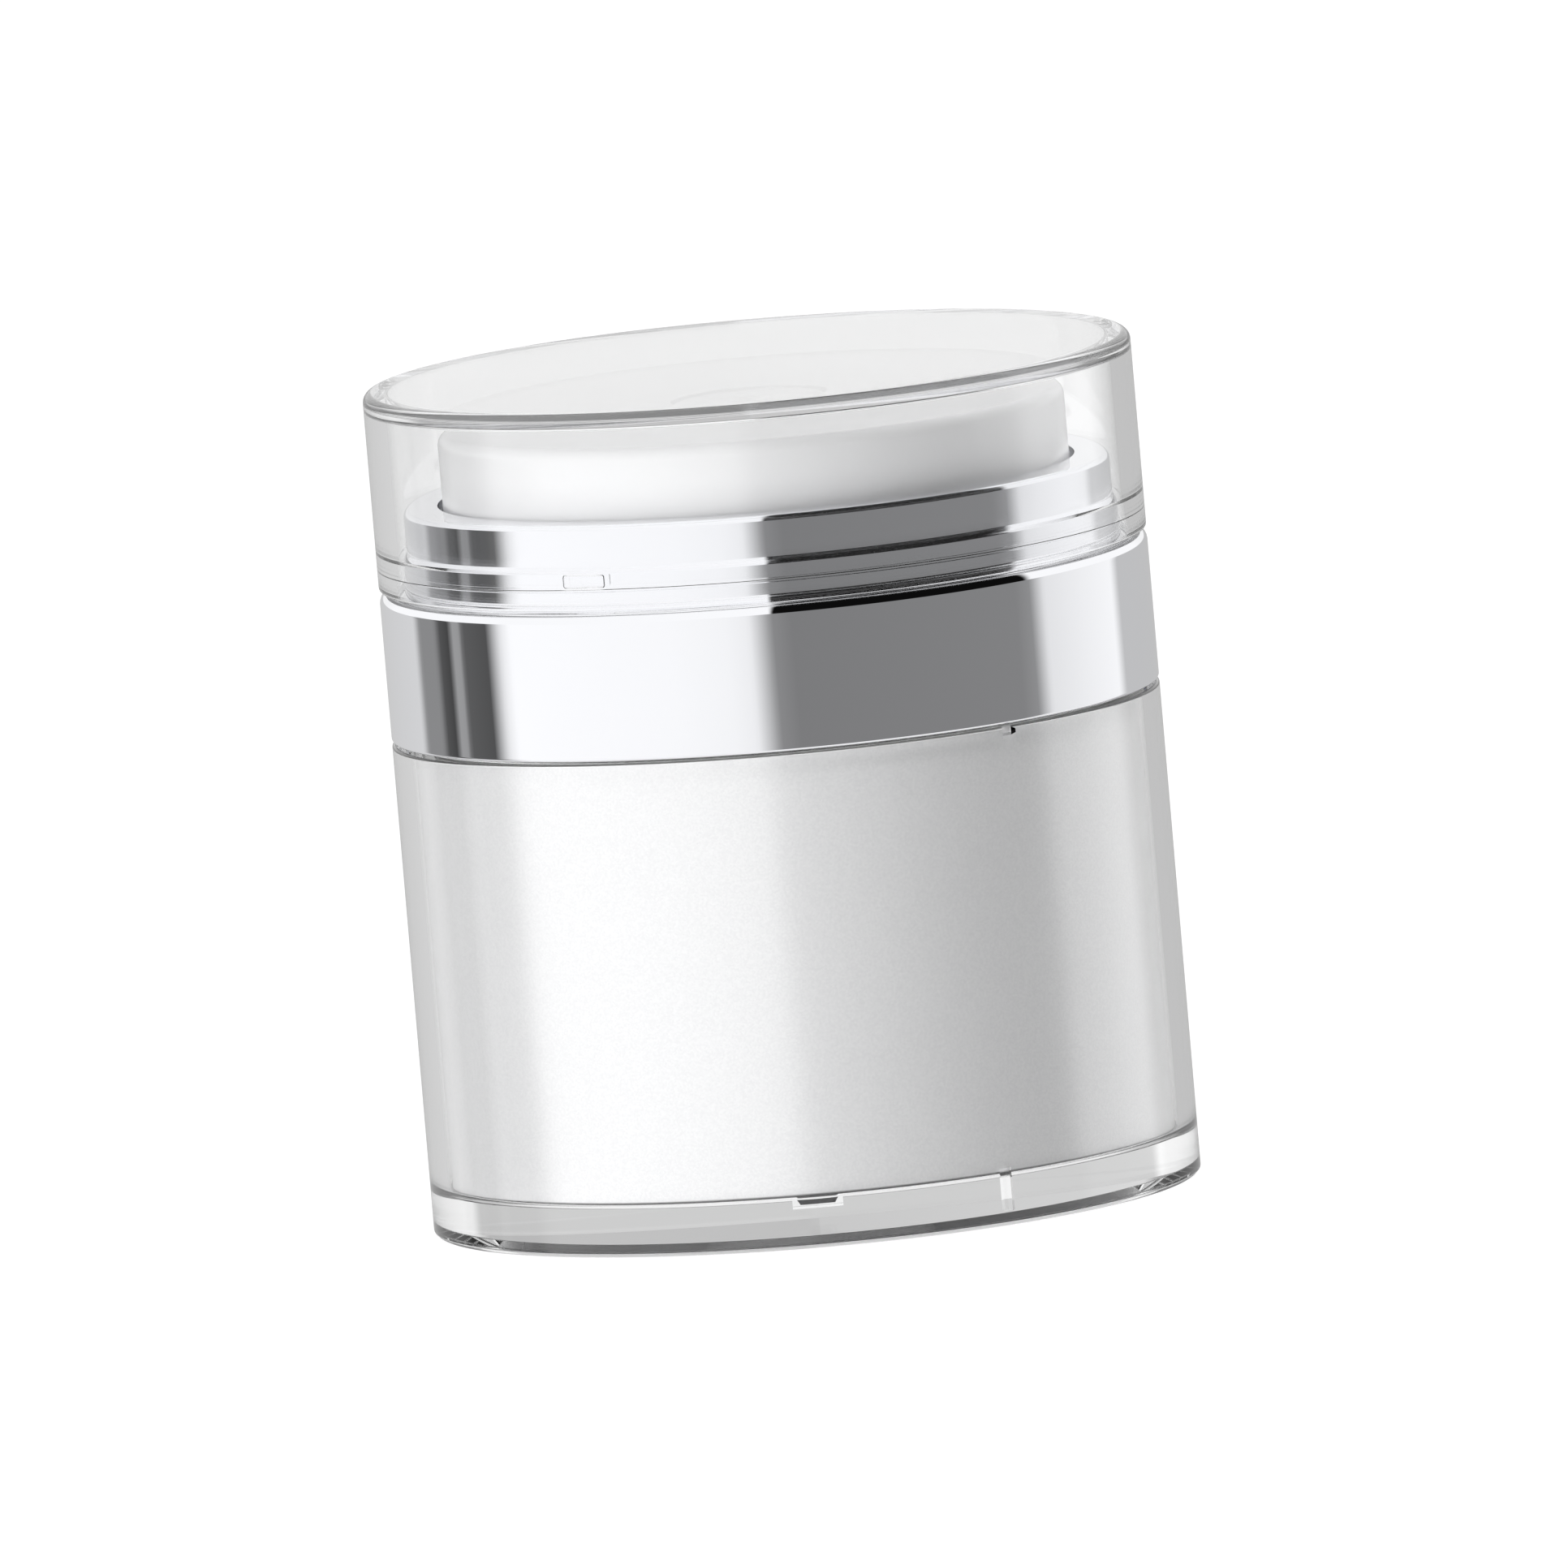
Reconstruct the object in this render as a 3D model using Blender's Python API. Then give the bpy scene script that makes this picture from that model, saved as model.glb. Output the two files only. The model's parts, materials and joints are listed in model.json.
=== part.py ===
# Airless cosmetic jar, about 50 ml: a clear outer jar over a pearl liner, an inner cup
# with a rising follower, a screwed head that holds the pump, and a clear overcap.
# Metres, +Z up, origin in the middle of the base, every joint axis on the Z axis.

import math

import bmesh
import bpy
from mathutils import Matrix

# Fits shared by all pieces
FIT = 0.0003
SLIDE_FIT = 0.0004
OVERRUN = 0.0010
WELD = 0.000001
SMOOTH_ANGLE = math.radians(35)

# Sides of the turned pieces
OUTER_SIDES = 48
INNER_SIDES = 36
PUMP_SIDES = 24
ROUND_STEPS = 3

# Outer jar
JAR_RADIUS = 0.0310
JAR_WALL = 0.0015
JAR_HEIGHT = 0.03985
JAR_FLOOR = 0.00315
FOOT_RECESS = 0.0006
FOOT_RIM = 0.0046
FOOT_BEVEL = 0.0003
FOOT_BEVEL_HEIGHT = 0.0003
VENT_WIDTH = 0.0007
VENT_DEPTH = 0.0006
VENT_ANGLE = math.radians(37.2)
GROOVE_WIDTH = 0.0009
GROOVE_DEPTH = 0.0005
GROOVE_FOOT = 0.0011
GROOVE_ANGLE = math.radians(30.4)

# Pearl liner
LINER_WALL = 0.0013
LINER_FLOOR = 0.0010
LINER_HOLE = 0.0080
KEY_WIDTH = 0.0034
KEY_DEPTH = 0.00065
KEY_REACH = 0.0016

# Inner cup
CUP_AIR_GAP = 0.0012
CUP_WALL = 0.0012
CUP_FLOOR = 0.0012
CUP_NECK = 0.0060
CUP_VENT = 0.0015
SHOULDER_HEIGHT = 0.0015

# Screw thread between cup and head
THREAD_PITCH = 0.0025
THREAD_TURNS = 0.95
THREAD_HEIGHT = 0.0009
THREAD_ROOT_WIDTH = 0.0012
THREAD_CREST_WIDTH = 0.0005
THREAD_SINK = 0.0003
THREAD_STEPS = 32
THREAD_RIM_GAP = 0.0002
THREAD_FACING = math.radians(4)

# Follower
FOLLOWER_HEIGHT = 0.0062
FOLLOWER_SKIN = 0.0012
FOLLOWER_WIPER = 0.0010
FOLLOWER_NECK = 0.0008

# Gasket on the cup rim
GASKET_WIDTH = 0.0009
GASKET_HEIGHT = 0.0008

# Pump carrier
CARRIER_FLANGE = 0.0014
CARRIER_OVERHANG = 0.0002
CARRIER_WALL = 0.0012
CARRIER_SKIRT = 0.0091
CARRIER_FLOOR = 0.0014
WELL_DEPTH = 0.0040
WELL_WALL = 0.0012
WELL_FLOOR = 0.0018
WELL_HOLE = 0.0050
SEAL_GROOVE = 0.0010
SEAL_RIB = 0.0006
SEAL_GROOVE_WIDTH = 0.0018
SEAL_SECTION = 0.00035
SEAL_STEPS = 8

# Pump cylinder
CYLINDER_BORE = 0.0080
CYLINDER_WALL = 0.0012
CYLINDER_FLOOR = 0.0014
CYLINDER_HEIGHT = 0.0143
SPIGOT_WALL = 0.0017

# Inlet valve and its cage
VALVE_LAND = 0.0012
VALVE_HEIGHT = 0.0008
VALVE_PIN = 0.0012
VALVE_LIFT = 0.0008
CAGE_WALL = 0.0015
CAGE_WEB = 0.0008
CAGE_EYE = 0.0016
CAGE_PORT = 0.0008
CAGE_PORTS = 4

# Pump piston, stem and plug
STROKE = 0.0045
STEM_RADIUS = 0.0035
STEM_WALL = 0.0013
PLUG_HEAD = 0.0050
PLUG_HEIGHT = 0.0009
PLUG_FLOW_GAP = 0.0006
PLUG_LENGTH = 0.0070
PISTON_HEIGHT = 0.0030
PISTON_WIPER = 0.0008
PISTON_WAIST = 0.0010
PLUG_CLEARANCE = 0.0004

# Lock bush
BUSH_FLANGE = 0.0015
BUSH_PLUG = 0.0005

# Return spring
SPRING_WIRE = 0.0010
SPRING_CLEARANCE = 0.0006
SPRING_TURNS = 6
SPRING_POINTS = 10
SPRING_HEIGHT = 0.0163
SPRING_CLOSE_PITCH = 0.0015

# Threaded sleeve inside the collar
SLEEVE_FLANGE = 0.0014
SLEEVE_LAND = 0.0009

# Metallised collar
COLLAR_WALL = 0.0010
BAND_HEIGHT = 0.01155
SHOULDER_PLATE = 0.00105
LOWER_RING_HEIGHT = 0.0020
UPPER_RING_STEP = 0.0004
UPPER_RING_HEIGHT = 0.0020
NECK_STEP = 0.0003
NECK_HEIGHT = 0.00335
NECK_WALL = 0.0017
NECK_LIP = 0.0028
NECK_ROUND = 0.0005

# Press plate
PRESS_RISE = 0.0057
PRESS_WALL = 0.0013
PRESS_SLAB = 0.0015
PRESS_ROUND = 0.0010
PRESS_DISH = 0.0003
BEAD_HEIGHT = 0.0008
SPRING_CUP_WALL = 0.0014
HUB_WALL = 0.0013
OUTLET_POCKET = 0.0053
OUTLET_POCKET_HEIGHT = 0.0017
INSERT_LEDGE = 0.0010
INSERT_POCKET_HEIGHT = 0.0022

# Outlet valve and orifice insert
OUTLET_SLIT = 0.0005
OUTLET_LIP = 0.0004
ORIFICE = 0.0010
ORIFICE_MOUTH = 0.0018
INSERT_RECESS = 0.0002

# Overcap
CAP_WALL = 0.0015
CAP_STEP = 0.0003
CAP_LOWER_STEP = 0.00015
CAP_MIDDLE_HEIGHT = 0.00155
CAP_TOP = 0.0013
CAP_HEADROOM = 0.00225
CAP_ROUND = 0.0009
LUG_COUNT = 4
LUG_WIDTH = 0.0037
LUG_HEIGHT = 0.0011
LUG_INSET = 0.0001
LUG_ANGLE = math.radians(-29.7)

# Heights and radii worked out from the sizes above
JAR_BORE = JAR_RADIUS - JAR_WALL
JAR_FLOOR_TOP = FOOT_RECESS + JAR_FLOOR
LINER_BOTTOM = JAR_FLOOR_TOP + FIT
LINER_RADIUS = JAR_BORE - FIT
LINER_BORE = LINER_RADIUS - LINER_WALL
CUP_BOTTOM = LINER_BOTTOM + LINER_FLOOR + FIT
CUP_RADIUS = LINER_BORE - CUP_AIR_GAP
CUP_BORE = CUP_RADIUS - CUP_WALL
CUP_FLOOR_TOP = CUP_BOTTOM + CUP_FLOOR
CUP_RIM = JAR_HEIGHT + CUP_NECK
FOLLOWER_BOTTOM = CUP_FLOOR_TOP + FIT
FOLLOWER_TOP = FOLLOWER_BOTTOM + FOLLOWER_HEIGHT
GASKET_BOTTOM = CUP_RIM + FIT
FLANGE_BOTTOM = GASKET_BOTTOM + GASKET_HEIGHT + FIT
FLANGE_TOP = FLANGE_BOTTOM + CARRIER_FLANGE
FLANGE_RADIUS = CUP_RADIUS + CARRIER_OVERHANG
CARRIER_RADIUS = CUP_BORE - FIT
CARRIER_BOTTOM = FLANGE_BOTTOM - CARRIER_SKIRT
WELL_BOTTOM = CARRIER_BOTTOM - WELL_DEPTH
WELL_FLOOR_TOP = WELL_BOTTOM + WELL_FLOOR
CYLINDER_BOTTOM = WELL_FLOOR_TOP + FIT
CYLINDER_RADIUS = CYLINDER_BORE + CYLINDER_WALL
CYLINDER_FLOOR_TOP = CYLINDER_BOTTOM + CYLINDER_FLOOR
CYLINDER_TOP = CYLINDER_BOTTOM + CYLINDER_HEIGHT
SPRING_BOTTOM = WELL_FLOOR_TOP + FIT
SPRING_TOP = SPRING_BOTTOM + SPRING_HEIGHT
SPRING_CENTRE = CYLINDER_RADIUS + SPRING_CLEARANCE + SPRING_WIRE / 2
WELL_RADIUS = SPRING_CENTRE + SPRING_WIRE / 2 + SLIDE_FIT
WELL_OUTER = WELL_RADIUS + WELL_WALL
SEAL_GROOVE_INNER = WELL_HOLE + SEAL_RIB
SPIGOT_RADIUS = WELL_HOLE - FIT
INLET_BORE = SPIGOT_RADIUS - SPIGOT_WALL
VALVE_RADIUS = INLET_BORE + VALVE_LAND
VALVE_BOTTOM = CYLINDER_FLOOR_TOP + FIT
CAGE_RADIUS = CYLINDER_BORE - FIT
CAGE_WEB_BOTTOM = VALVE_BOTTOM + VALVE_HEIGHT + VALVE_LIFT + FIT
CAGE_TOP = CAGE_WEB_BOTTOM + CAGE_WEB
PLUG_BOTTOM = CAGE_TOP + PLUG_CLEARANCE + STROKE
PISTON_BOTTOM = PLUG_BOTTOM + PLUG_HEIGHT + FIT
PISTON_TOP = PISTON_BOTTOM + PISTON_HEIGHT
STEM_BOTTOM = PISTON_BOTTOM + PISTON_WIPER
BUSH_BOTTOM = CYLINDER_TOP + FIT
BUSH_TOP = BUSH_BOTTOM + BUSH_FLANGE
STEM_HOLE = STEM_RADIUS + FIT
STEM_BORE = STEM_RADIUS - STEM_WALL
PLUG_SHANK = STEM_BORE - PLUG_FLOW_GAP
SLEEVE_FLANGE_BOTTOM = FLANGE_TOP + FIT
SLEEVE_TOP = SLEEVE_FLANGE_BOTTOM + SLEEVE_FLANGE
COLLAR_BOTTOM = JAR_HEIGHT + FIT
COLLAR_BORE = JAR_RADIUS - COLLAR_WALL
BAND_TOP = COLLAR_BOTTOM + BAND_HEIGHT
SHOULDER_UNDERSIDE = BAND_TOP - SHOULDER_PLATE
CAP_BORE = JAR_RADIUS - CAP_WALL
LOWER_RING_RADIUS = CAP_BORE - FIT
LOWER_RING_TOP = BAND_TOP + LOWER_RING_HEIGHT
UPPER_RING_RADIUS = LOWER_RING_RADIUS - UPPER_RING_STEP
UPPER_RING_TOP = LOWER_RING_TOP + UPPER_RING_HEIGHT
NECK_RADIUS = UPPER_RING_RADIUS - NECK_STEP
NECK_TOP = UPPER_RING_TOP + NECK_HEIGHT
NECK_BORE = NECK_RADIUS - NECK_WALL
NECK_OPENING = NECK_RADIUS - NECK_LIP
SLEEVE_RADIUS = COLLAR_BORE - FIT
SLEEVE_BORE = CUP_RADIUS + THREAD_HEIGHT + FIT
SLEEVE_BOTTOM = COLLAR_BOTTOM + SLIDE_FIT
PRESS_RADIUS = NECK_OPENING - SLIDE_FIT
PRESS_TOP = NECK_TOP + PRESS_RISE
PRESS_UNDERSIDE = PRESS_TOP - PRESS_SLAB
PRESS_BOTTOM = SLEEVE_TOP + STROKE + FIT
BEAD_RADIUS = NECK_BORE - SLIDE_FIT
BEAD_TOP = PRESS_BOTTOM + BEAD_HEIGHT
GUIDE_BOTTOM = BEAD_TOP + FIT
SPRING_CUP_INNER = CYLINDER_RADIUS + SLIDE_FIT
SPRING_CUP_OUTER = SPRING_CUP_INNER + SPRING_CUP_WALL
SPRING_CUP_BOTTOM = SPRING_TOP + FIT
INSERT_POCKET = OUTLET_POCKET + INSERT_LEDGE
HUB_RADIUS = INSERT_POCKET + HUB_WALL
HUB_BOTTOM = BUSH_TOP + STROKE + FIT
INSERT_POCKET_BOTTOM = PRESS_TOP - INSERT_POCKET_HEIGHT
OUTLET_POCKET_BOTTOM = INSERT_POCKET_BOTTOM - OUTLET_POCKET_HEIGHT
STEM_TOP = OUTLET_POCKET_BOTTOM - FIT
CAP_BOTTOM = BAND_TOP + FIT
CAP_LOWER_STEP_HEIGHT = LOWER_RING_TOP + FIT
CAP_STEP_HEIGHT = CAP_LOWER_STEP_HEIGHT + CAP_MIDDLE_HEIGHT
CAP_UNDERSIDE = PRESS_TOP + CAP_HEADROOM
CAP_TOP_HEIGHT = CAP_UNDERSIDE + CAP_TOP


def clear_scene():
    for thing in list(bpy.data.objects):
        bpy.data.objects.remove(thing, do_unlink=True)


def finish(name, colour, roughness, metallic=0.0, clear=0.0):
    material = bpy.data.materials.new(name)
    material.use_nodes = True
    shader = material.node_tree.nodes["Principled BSDF"]
    shader.inputs["Base Color"].default_value = (*colour, 1.0)
    shader.inputs["Roughness"].default_value = roughness
    shader.inputs["Metallic"].default_value = metallic
    shader.inputs["Transmission Weight"].default_value = clear
    return material


def quarter(centre_radius, centre_height, size, start_degrees, end_degrees):
    # Points of an arc in the outline's plane, from the start angle to the end angle.
    points = []
    for step in range(ROUND_STEPS + 1):
        share = step / ROUND_STEPS
        angle = math.radians(start_degrees + (end_degrees - start_degrees) * share)
        points.append((centre_radius + size * math.cos(angle), centre_height + size * math.sin(angle)))
    return points


def ring_section(inner, outer, bottom, top):
    return [(inner, bottom), (outer, bottom), (outer, top), (inner, top)]


def add_object(name, shape, parent, material):
    bmesh.ops.recalc_face_normals(shape, faces=shape.faces)
    mesh = bpy.data.meshes.new(name)
    shape.to_mesh(mesh)
    shape.free()
    mesh.shade_smooth()
    mesh.set_sharp_from_angle(angle=SMOOTH_ANGLE)
    if material:
        mesh.materials.append(material)
    piece = bpy.data.objects.new(name, mesh)
    bpy.context.collection.objects.link(piece)
    piece.parent = parent
    return piece


def turned_shape(outline, sides):
    # A closed outline makes a ring; one that starts and ends on the axis makes a solid.
    shape = bmesh.new()
    corners = [shape.verts.new((radius, 0.0, height)) for radius, height in outline]
    ends_on_axis = outline[0][0] == 0.0 and outline[-1][0] == 0.0
    followers = corners[1:] if ends_on_axis else corners[1:] + corners[:1]
    edges = [shape.edges.new(pair) for pair in zip(corners, followers)]
    bmesh.ops.spin(shape, geom=corners + edges, cent=(0, 0, 0), axis=(0, 0, 1),
                   angle=math.tau, steps=sides, use_merge=True)
    bmesh.ops.remove_doubles(shape, verts=shape.verts, dist=WELD)
    return shape


def turned(name, outline, sides, parent, material):
    return add_object(name, turned_shape(outline, sides), parent, material)


def box_tool(name, size, place, turn):
    # A box whose own +Y looks inward from the front of the jar, turned about the axis.
    shape = bmesh.new()
    bmesh.ops.create_cube(shape, size=1.0)
    bmesh.ops.scale(shape, vec=size, verts=shape.verts)
    bmesh.ops.translate(shape, vec=place, verts=shape.verts)
    bmesh.ops.rotate(shape, cent=(0, 0, 0), matrix=Matrix.Rotation(turn, 3, "Z"), verts=shape.verts)
    return hide(add_object(name, shape, None, None))


def round_tool(name, radius, bottom, top, distance, turn):
    shape = bmesh.new()
    bmesh.ops.create_cone(shape, cap_ends=True, segments=PUMP_SIDES // 2, radius1=radius,
                          radius2=radius, depth=top - bottom)
    bmesh.ops.translate(shape, vec=(distance, 0, (top + bottom) / 2), verts=shape.verts)
    bmesh.ops.rotate(shape, cent=(0, 0, 0), matrix=Matrix.Rotation(turn, 3, "Z"), verts=shape.verts)
    return hide(add_object(name, shape, None, None))


def hide(tool):
    tool.hide_render = True
    tool.display_type = "WIRE"
    return tool


def combine(piece, tool, operation):
    change = piece.modifiers.new(tool.name, "BOOLEAN")
    change.operation = operation
    change.solver = "EXACT"
    change.object = tool


def thread_tool(name, root, crest, start):
    # A one-start ridge: each section is a trapezium between the root and the crest.
    outward = 1.0 if crest > root else -1.0
    foot = root - outward * THREAD_SINK
    shape = bmesh.new()
    sections = []
    steps = round(THREAD_STEPS * THREAD_TURNS)
    for step in range(steps + 1):
        angle = math.tau * THREAD_TURNS * step / steps
        height = start + THREAD_PITCH * THREAD_TURNS * step / steps
        section = [(foot, -THREAD_ROOT_WIDTH / 2), (crest, -THREAD_CREST_WIDTH / 2),
                   (crest, THREAD_CREST_WIDTH / 2), (foot, THREAD_ROOT_WIDTH / 2)]
        facing = angle + THREAD_FACING
        sections.append([shape.verts.new((radius * math.cos(facing), radius * math.sin(facing), height + rise))
                         for radius, rise in section])
    for first, second in zip(sections, sections[1:]):
        for index in range(len(first)):
            after = (index + 1) % len(first)
            shape.faces.new((first[index], first[after], second[after], second[index]))
    shape.faces.new(sections[0])
    shape.faces.new(sections[-1])
    return hide(add_object(name, shape, None, None))


def make_outer_jar(parent):
    clear = finish("clear_acrylic", (0.93, 0.94, 0.95), 0.05, clear=1.0)
    rest_inner = JAR_RADIUS - FOOT_BEVEL - FOOT_RIM
    outline = [(0, FOOT_RECESS), (rest_inner - FOOT_RECESS, FOOT_RECESS), (rest_inner, 0),
               (JAR_RADIUS - FOOT_BEVEL, 0), (JAR_RADIUS, FOOT_BEVEL_HEIGHT), (JAR_RADIUS, JAR_HEIGHT),
               (JAR_BORE, JAR_HEIGHT), (JAR_BORE, JAR_FLOOR_TOP), (0, JAR_FLOOR_TOP)]
    jar = turned("outer_jar", outline, OUTER_SIDES, parent, clear)
    pocket_front = -LINER_RADIUS
    pocket_back = -LINER_RADIUS + KEY_REACH + 2 * FIT
    pocket = box_tool("key_pocket", (KEY_WIDTH + 2 * FIT, pocket_back - pocket_front, KEY_DEPTH + OVERRUN),
                      (0, (pocket_front + pocket_back) / 2, JAR_FLOOR_TOP + (OVERRUN - KEY_DEPTH) / 2), 0)
    combine(jar, pocket, "DIFFERENCE")
    vent = box_tool("vent_notch", (VENT_WIDTH, JAR_WALL + 2 * OVERRUN, VENT_DEPTH + OVERRUN),
                    (0, -JAR_RADIUS + JAR_WALL / 2, JAR_HEIGHT + (OVERRUN - VENT_DEPTH) / 2), VENT_ANGLE)
    combine(jar, vent, "DIFFERENCE")
    groove_height = JAR_FLOOR_TOP - GROOVE_FOOT
    groove = box_tool("foot_groove", (GROOVE_WIDTH, GROOVE_DEPTH + OVERRUN, groove_height + OVERRUN),
                      (0, -JAR_BORE + (OVERRUN - GROOVE_DEPTH) / 2,
                       GROOVE_FOOT + (groove_height + OVERRUN) / 2), GROOVE_ANGLE)
    combine(jar, groove, "DIFFERENCE")


def make_liner(parent):
    pearl = finish("pearl_white", (0.86, 0.86, 0.87), 0.25)
    outline = [(LINER_HOLE, LINER_BOTTOM), (LINER_RADIUS, LINER_BOTTOM), (LINER_RADIUS, JAR_HEIGHT),
               (LINER_BORE, JAR_HEIGHT), (LINER_BORE, LINER_BOTTOM + LINER_FLOOR),
               (LINER_HOLE, LINER_BOTTOM + LINER_FLOOR)]
    liner = turned("liner_sleeve", outline, OUTER_SIDES, parent, pearl)
    key = box_tool("liner_key", (KEY_WIDTH, KEY_REACH, KEY_DEPTH + LINER_FLOOR / 2),
                   (0, -LINER_RADIUS + FIT + KEY_REACH / 2,
                    LINER_BOTTOM + (LINER_FLOOR / 2 - KEY_DEPTH) / 2), 0)
    combine(liner, key, "UNION")


def make_cup(parent):
    white = finish("white_polypropylene", (0.85, 0.85, 0.84), 0.35)
    shoulder = LINER_BORE - FIT
    shoulder_bottom = JAR_HEIGHT - SHOULDER_HEIGHT
    outline = [(CUP_VENT, CUP_BOTTOM), (CUP_RADIUS, CUP_BOTTOM), (CUP_RADIUS, shoulder_bottom),
               (shoulder, shoulder_bottom), (shoulder, JAR_HEIGHT), (CUP_RADIUS, JAR_HEIGHT),
               (CUP_RADIUS, CUP_RIM), (CUP_BORE, CUP_RIM), (CUP_BORE, CUP_FLOOR_TOP),
               (CUP_VENT, CUP_FLOOR_TOP)]
    cup = turned("inner_cup", outline, INNER_SIDES, parent, white)
    last_turn = CUP_RIM - THREAD_RIM_GAP - THREAD_ROOT_WIDTH / 2
    start = last_turn - THREAD_PITCH * THREAD_TURNS
    ridge = thread_tool("cup_thread", CUP_RADIUS, CUP_RADIUS + THREAD_HEIGHT, start)
    combine(cup, ridge, "UNION")


def make_follower(parent):
    soft = finish("follower_polyethylene", (0.80, 0.81, 0.80), 0.4)
    wiper = CUP_BORE - FIT
    waist = wiper - FOLLOWER_NECK
    inner = waist - FOLLOWER_SKIN
    crown = FOLLOWER_TOP - FOLLOWER_SKIN
    dish_radius = WELL_OUTER + FIT
    dish = FOLLOWER_TOP - WELL_DEPTH
    outline = [(0, dish), (dish_radius, dish), (dish_radius, FOLLOWER_TOP), (wiper, FOLLOWER_TOP),
               (wiper, FOLLOWER_TOP - FOLLOWER_WIPER), (waist, FOLLOWER_TOP - 2 * FOLLOWER_WIPER),
               (waist, FOLLOWER_BOTTOM + 2 * FOLLOWER_WIPER), (wiper, FOLLOWER_BOTTOM + FOLLOWER_WIPER),
               (wiper, FOLLOWER_BOTTOM), (inner, FOLLOWER_BOTTOM), (inner, crown),
               (dish_radius + FOLLOWER_SKIN, crown),
               (dish_radius + FOLLOWER_SKIN, dish - FOLLOWER_SKIN), (0, dish - FOLLOWER_SKIN)]
    turned("follower_piston", outline, INNER_SIDES, parent, soft)


def make_gasket(parent):
    rubber = finish("grey_silicone", (0.55, 0.56, 0.57), 0.6)
    outline = ring_section(CUP_RADIUS - GASKET_WIDTH, CUP_RADIUS, GASKET_BOTTOM,
                           GASKET_BOTTOM + GASKET_HEIGHT)
    turned("cup_gasket", outline, INNER_SIDES, parent, rubber)


def make_carrier(parent):
    white = finish("carrier_polypropylene", (0.83, 0.83, 0.83), 0.4)
    floor_top = CARRIER_BOTTOM + CARRIER_FLOOR
    inner = CARRIER_RADIUS - CARRIER_WALL
    groove_outer = SEAL_GROOVE_INNER + SEAL_GROOVE_WIDTH
    groove_floor = WELL_FLOOR_TOP - SEAL_GROOVE
    outline = [(WELL_HOLE, WELL_BOTTOM), (WELL_OUTER, WELL_BOTTOM), (WELL_OUTER, CARRIER_BOTTOM),
               (CARRIER_RADIUS, CARRIER_BOTTOM), (CARRIER_RADIUS, FLANGE_BOTTOM),
               (FLANGE_RADIUS, FLANGE_BOTTOM), (FLANGE_RADIUS, FLANGE_TOP), (inner, FLANGE_TOP),
               (inner, floor_top), (WELL_RADIUS, floor_top), (WELL_RADIUS, WELL_FLOOR_TOP),
               (groove_outer, WELL_FLOOR_TOP), (groove_outer, groove_floor),
               (SEAL_GROOVE_INNER, groove_floor), (SEAL_GROOVE_INNER, WELL_FLOOR_TOP),
               (WELL_HOLE, WELL_FLOOR_TOP)]
    turned("pump_carrier", outline, INNER_SIDES, parent, white)


def make_cylinder_seal(parent):
    rubber = finish("black_seal", (0.05, 0.05, 0.05), 0.5)
    centre = SEAL_GROOVE_INNER + SEAL_GROOVE_WIDTH / 2
    height = (WELL_FLOOR_TOP - SEAL_GROOVE + CYLINDER_BOTTOM) / 2
    outline = []
    for step in range(SEAL_STEPS):
        angle = math.tau * (step + 0.5) / SEAL_STEPS
        outline.append((centre + SEAL_SECTION * math.cos(angle), height + SEAL_SECTION * math.sin(angle)))
    turned("cylinder_seal", outline, PUMP_SIDES, parent, rubber)


def make_cylinder(parent):
    natural = finish("natural_polypropylene", (0.78, 0.80, 0.80), 0.3)
    spigot_bottom = WELL_BOTTOM + FIT
    outline = [(INLET_BORE, spigot_bottom), (SPIGOT_RADIUS, spigot_bottom), (SPIGOT_RADIUS, CYLINDER_BOTTOM),
               (CYLINDER_RADIUS, CYLINDER_BOTTOM), (CYLINDER_RADIUS, CYLINDER_TOP),
               (CYLINDER_BORE, CYLINDER_TOP), (CYLINDER_BORE, CYLINDER_FLOOR_TOP),
               (INLET_BORE, CYLINDER_FLOOR_TOP)]
    turned("pump_cylinder", outline, PUMP_SIDES, parent, natural)


def make_inlet_valve(parent):
    rubber = finish("valve_silicone", (0.70, 0.70, 0.68), 0.5)
    top = VALVE_BOTTOM + VALVE_HEIGHT
    pin_bottom = CYLINDER_BOTTOM
    outline = [(0, pin_bottom), (VALVE_PIN, pin_bottom), (VALVE_PIN, VALVE_BOTTOM),
               (VALVE_RADIUS, VALVE_BOTTOM), (VALVE_RADIUS, top), (0, top)]
    turned("inlet_valve", outline, PUMP_SIDES, parent, rubber)


def make_cage(parent):
    white = finish("cage_acetal", (0.88, 0.88, 0.88), 0.35)
    inner = CAGE_RADIUS - CAGE_WALL
    outline = [(inner, VALVE_BOTTOM), (CAGE_RADIUS, VALVE_BOTTOM), (CAGE_RADIUS, CAGE_TOP),
               (CAGE_EYE, CAGE_TOP), (CAGE_EYE, CAGE_WEB_BOTTOM), (inner, CAGE_WEB_BOTTOM)]
    cage = turned("valve_cage", outline, PUMP_SIDES, parent, white)
    port_centre = (VALVE_RADIUS + inner) / 2
    for index in range(CAGE_PORTS):
        port = round_tool(f"cage_port_{index + 1}", CAGE_PORT, CAGE_WEB_BOTTOM - OVERRUN,
                          CAGE_TOP + OVERRUN, port_centre, math.tau * (index + 0.5) / CAGE_PORTS)
        combine(cage, port, "DIFFERENCE")


def make_stem_plug(parent):
    white = finish("plug_acetal", (0.88, 0.88, 0.88), 0.35)
    head_top = PLUG_BOTTOM + PLUG_HEIGHT
    outline = [(0, PLUG_BOTTOM), (PLUG_HEAD, PLUG_BOTTOM), (PLUG_HEAD, head_top),
               (PLUG_SHANK, head_top), (PLUG_SHANK, head_top + PLUG_LENGTH), (0, head_top + PLUG_LENGTH)]
    turned("stem_plug", outline, PUMP_SIDES, parent, white)


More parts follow.
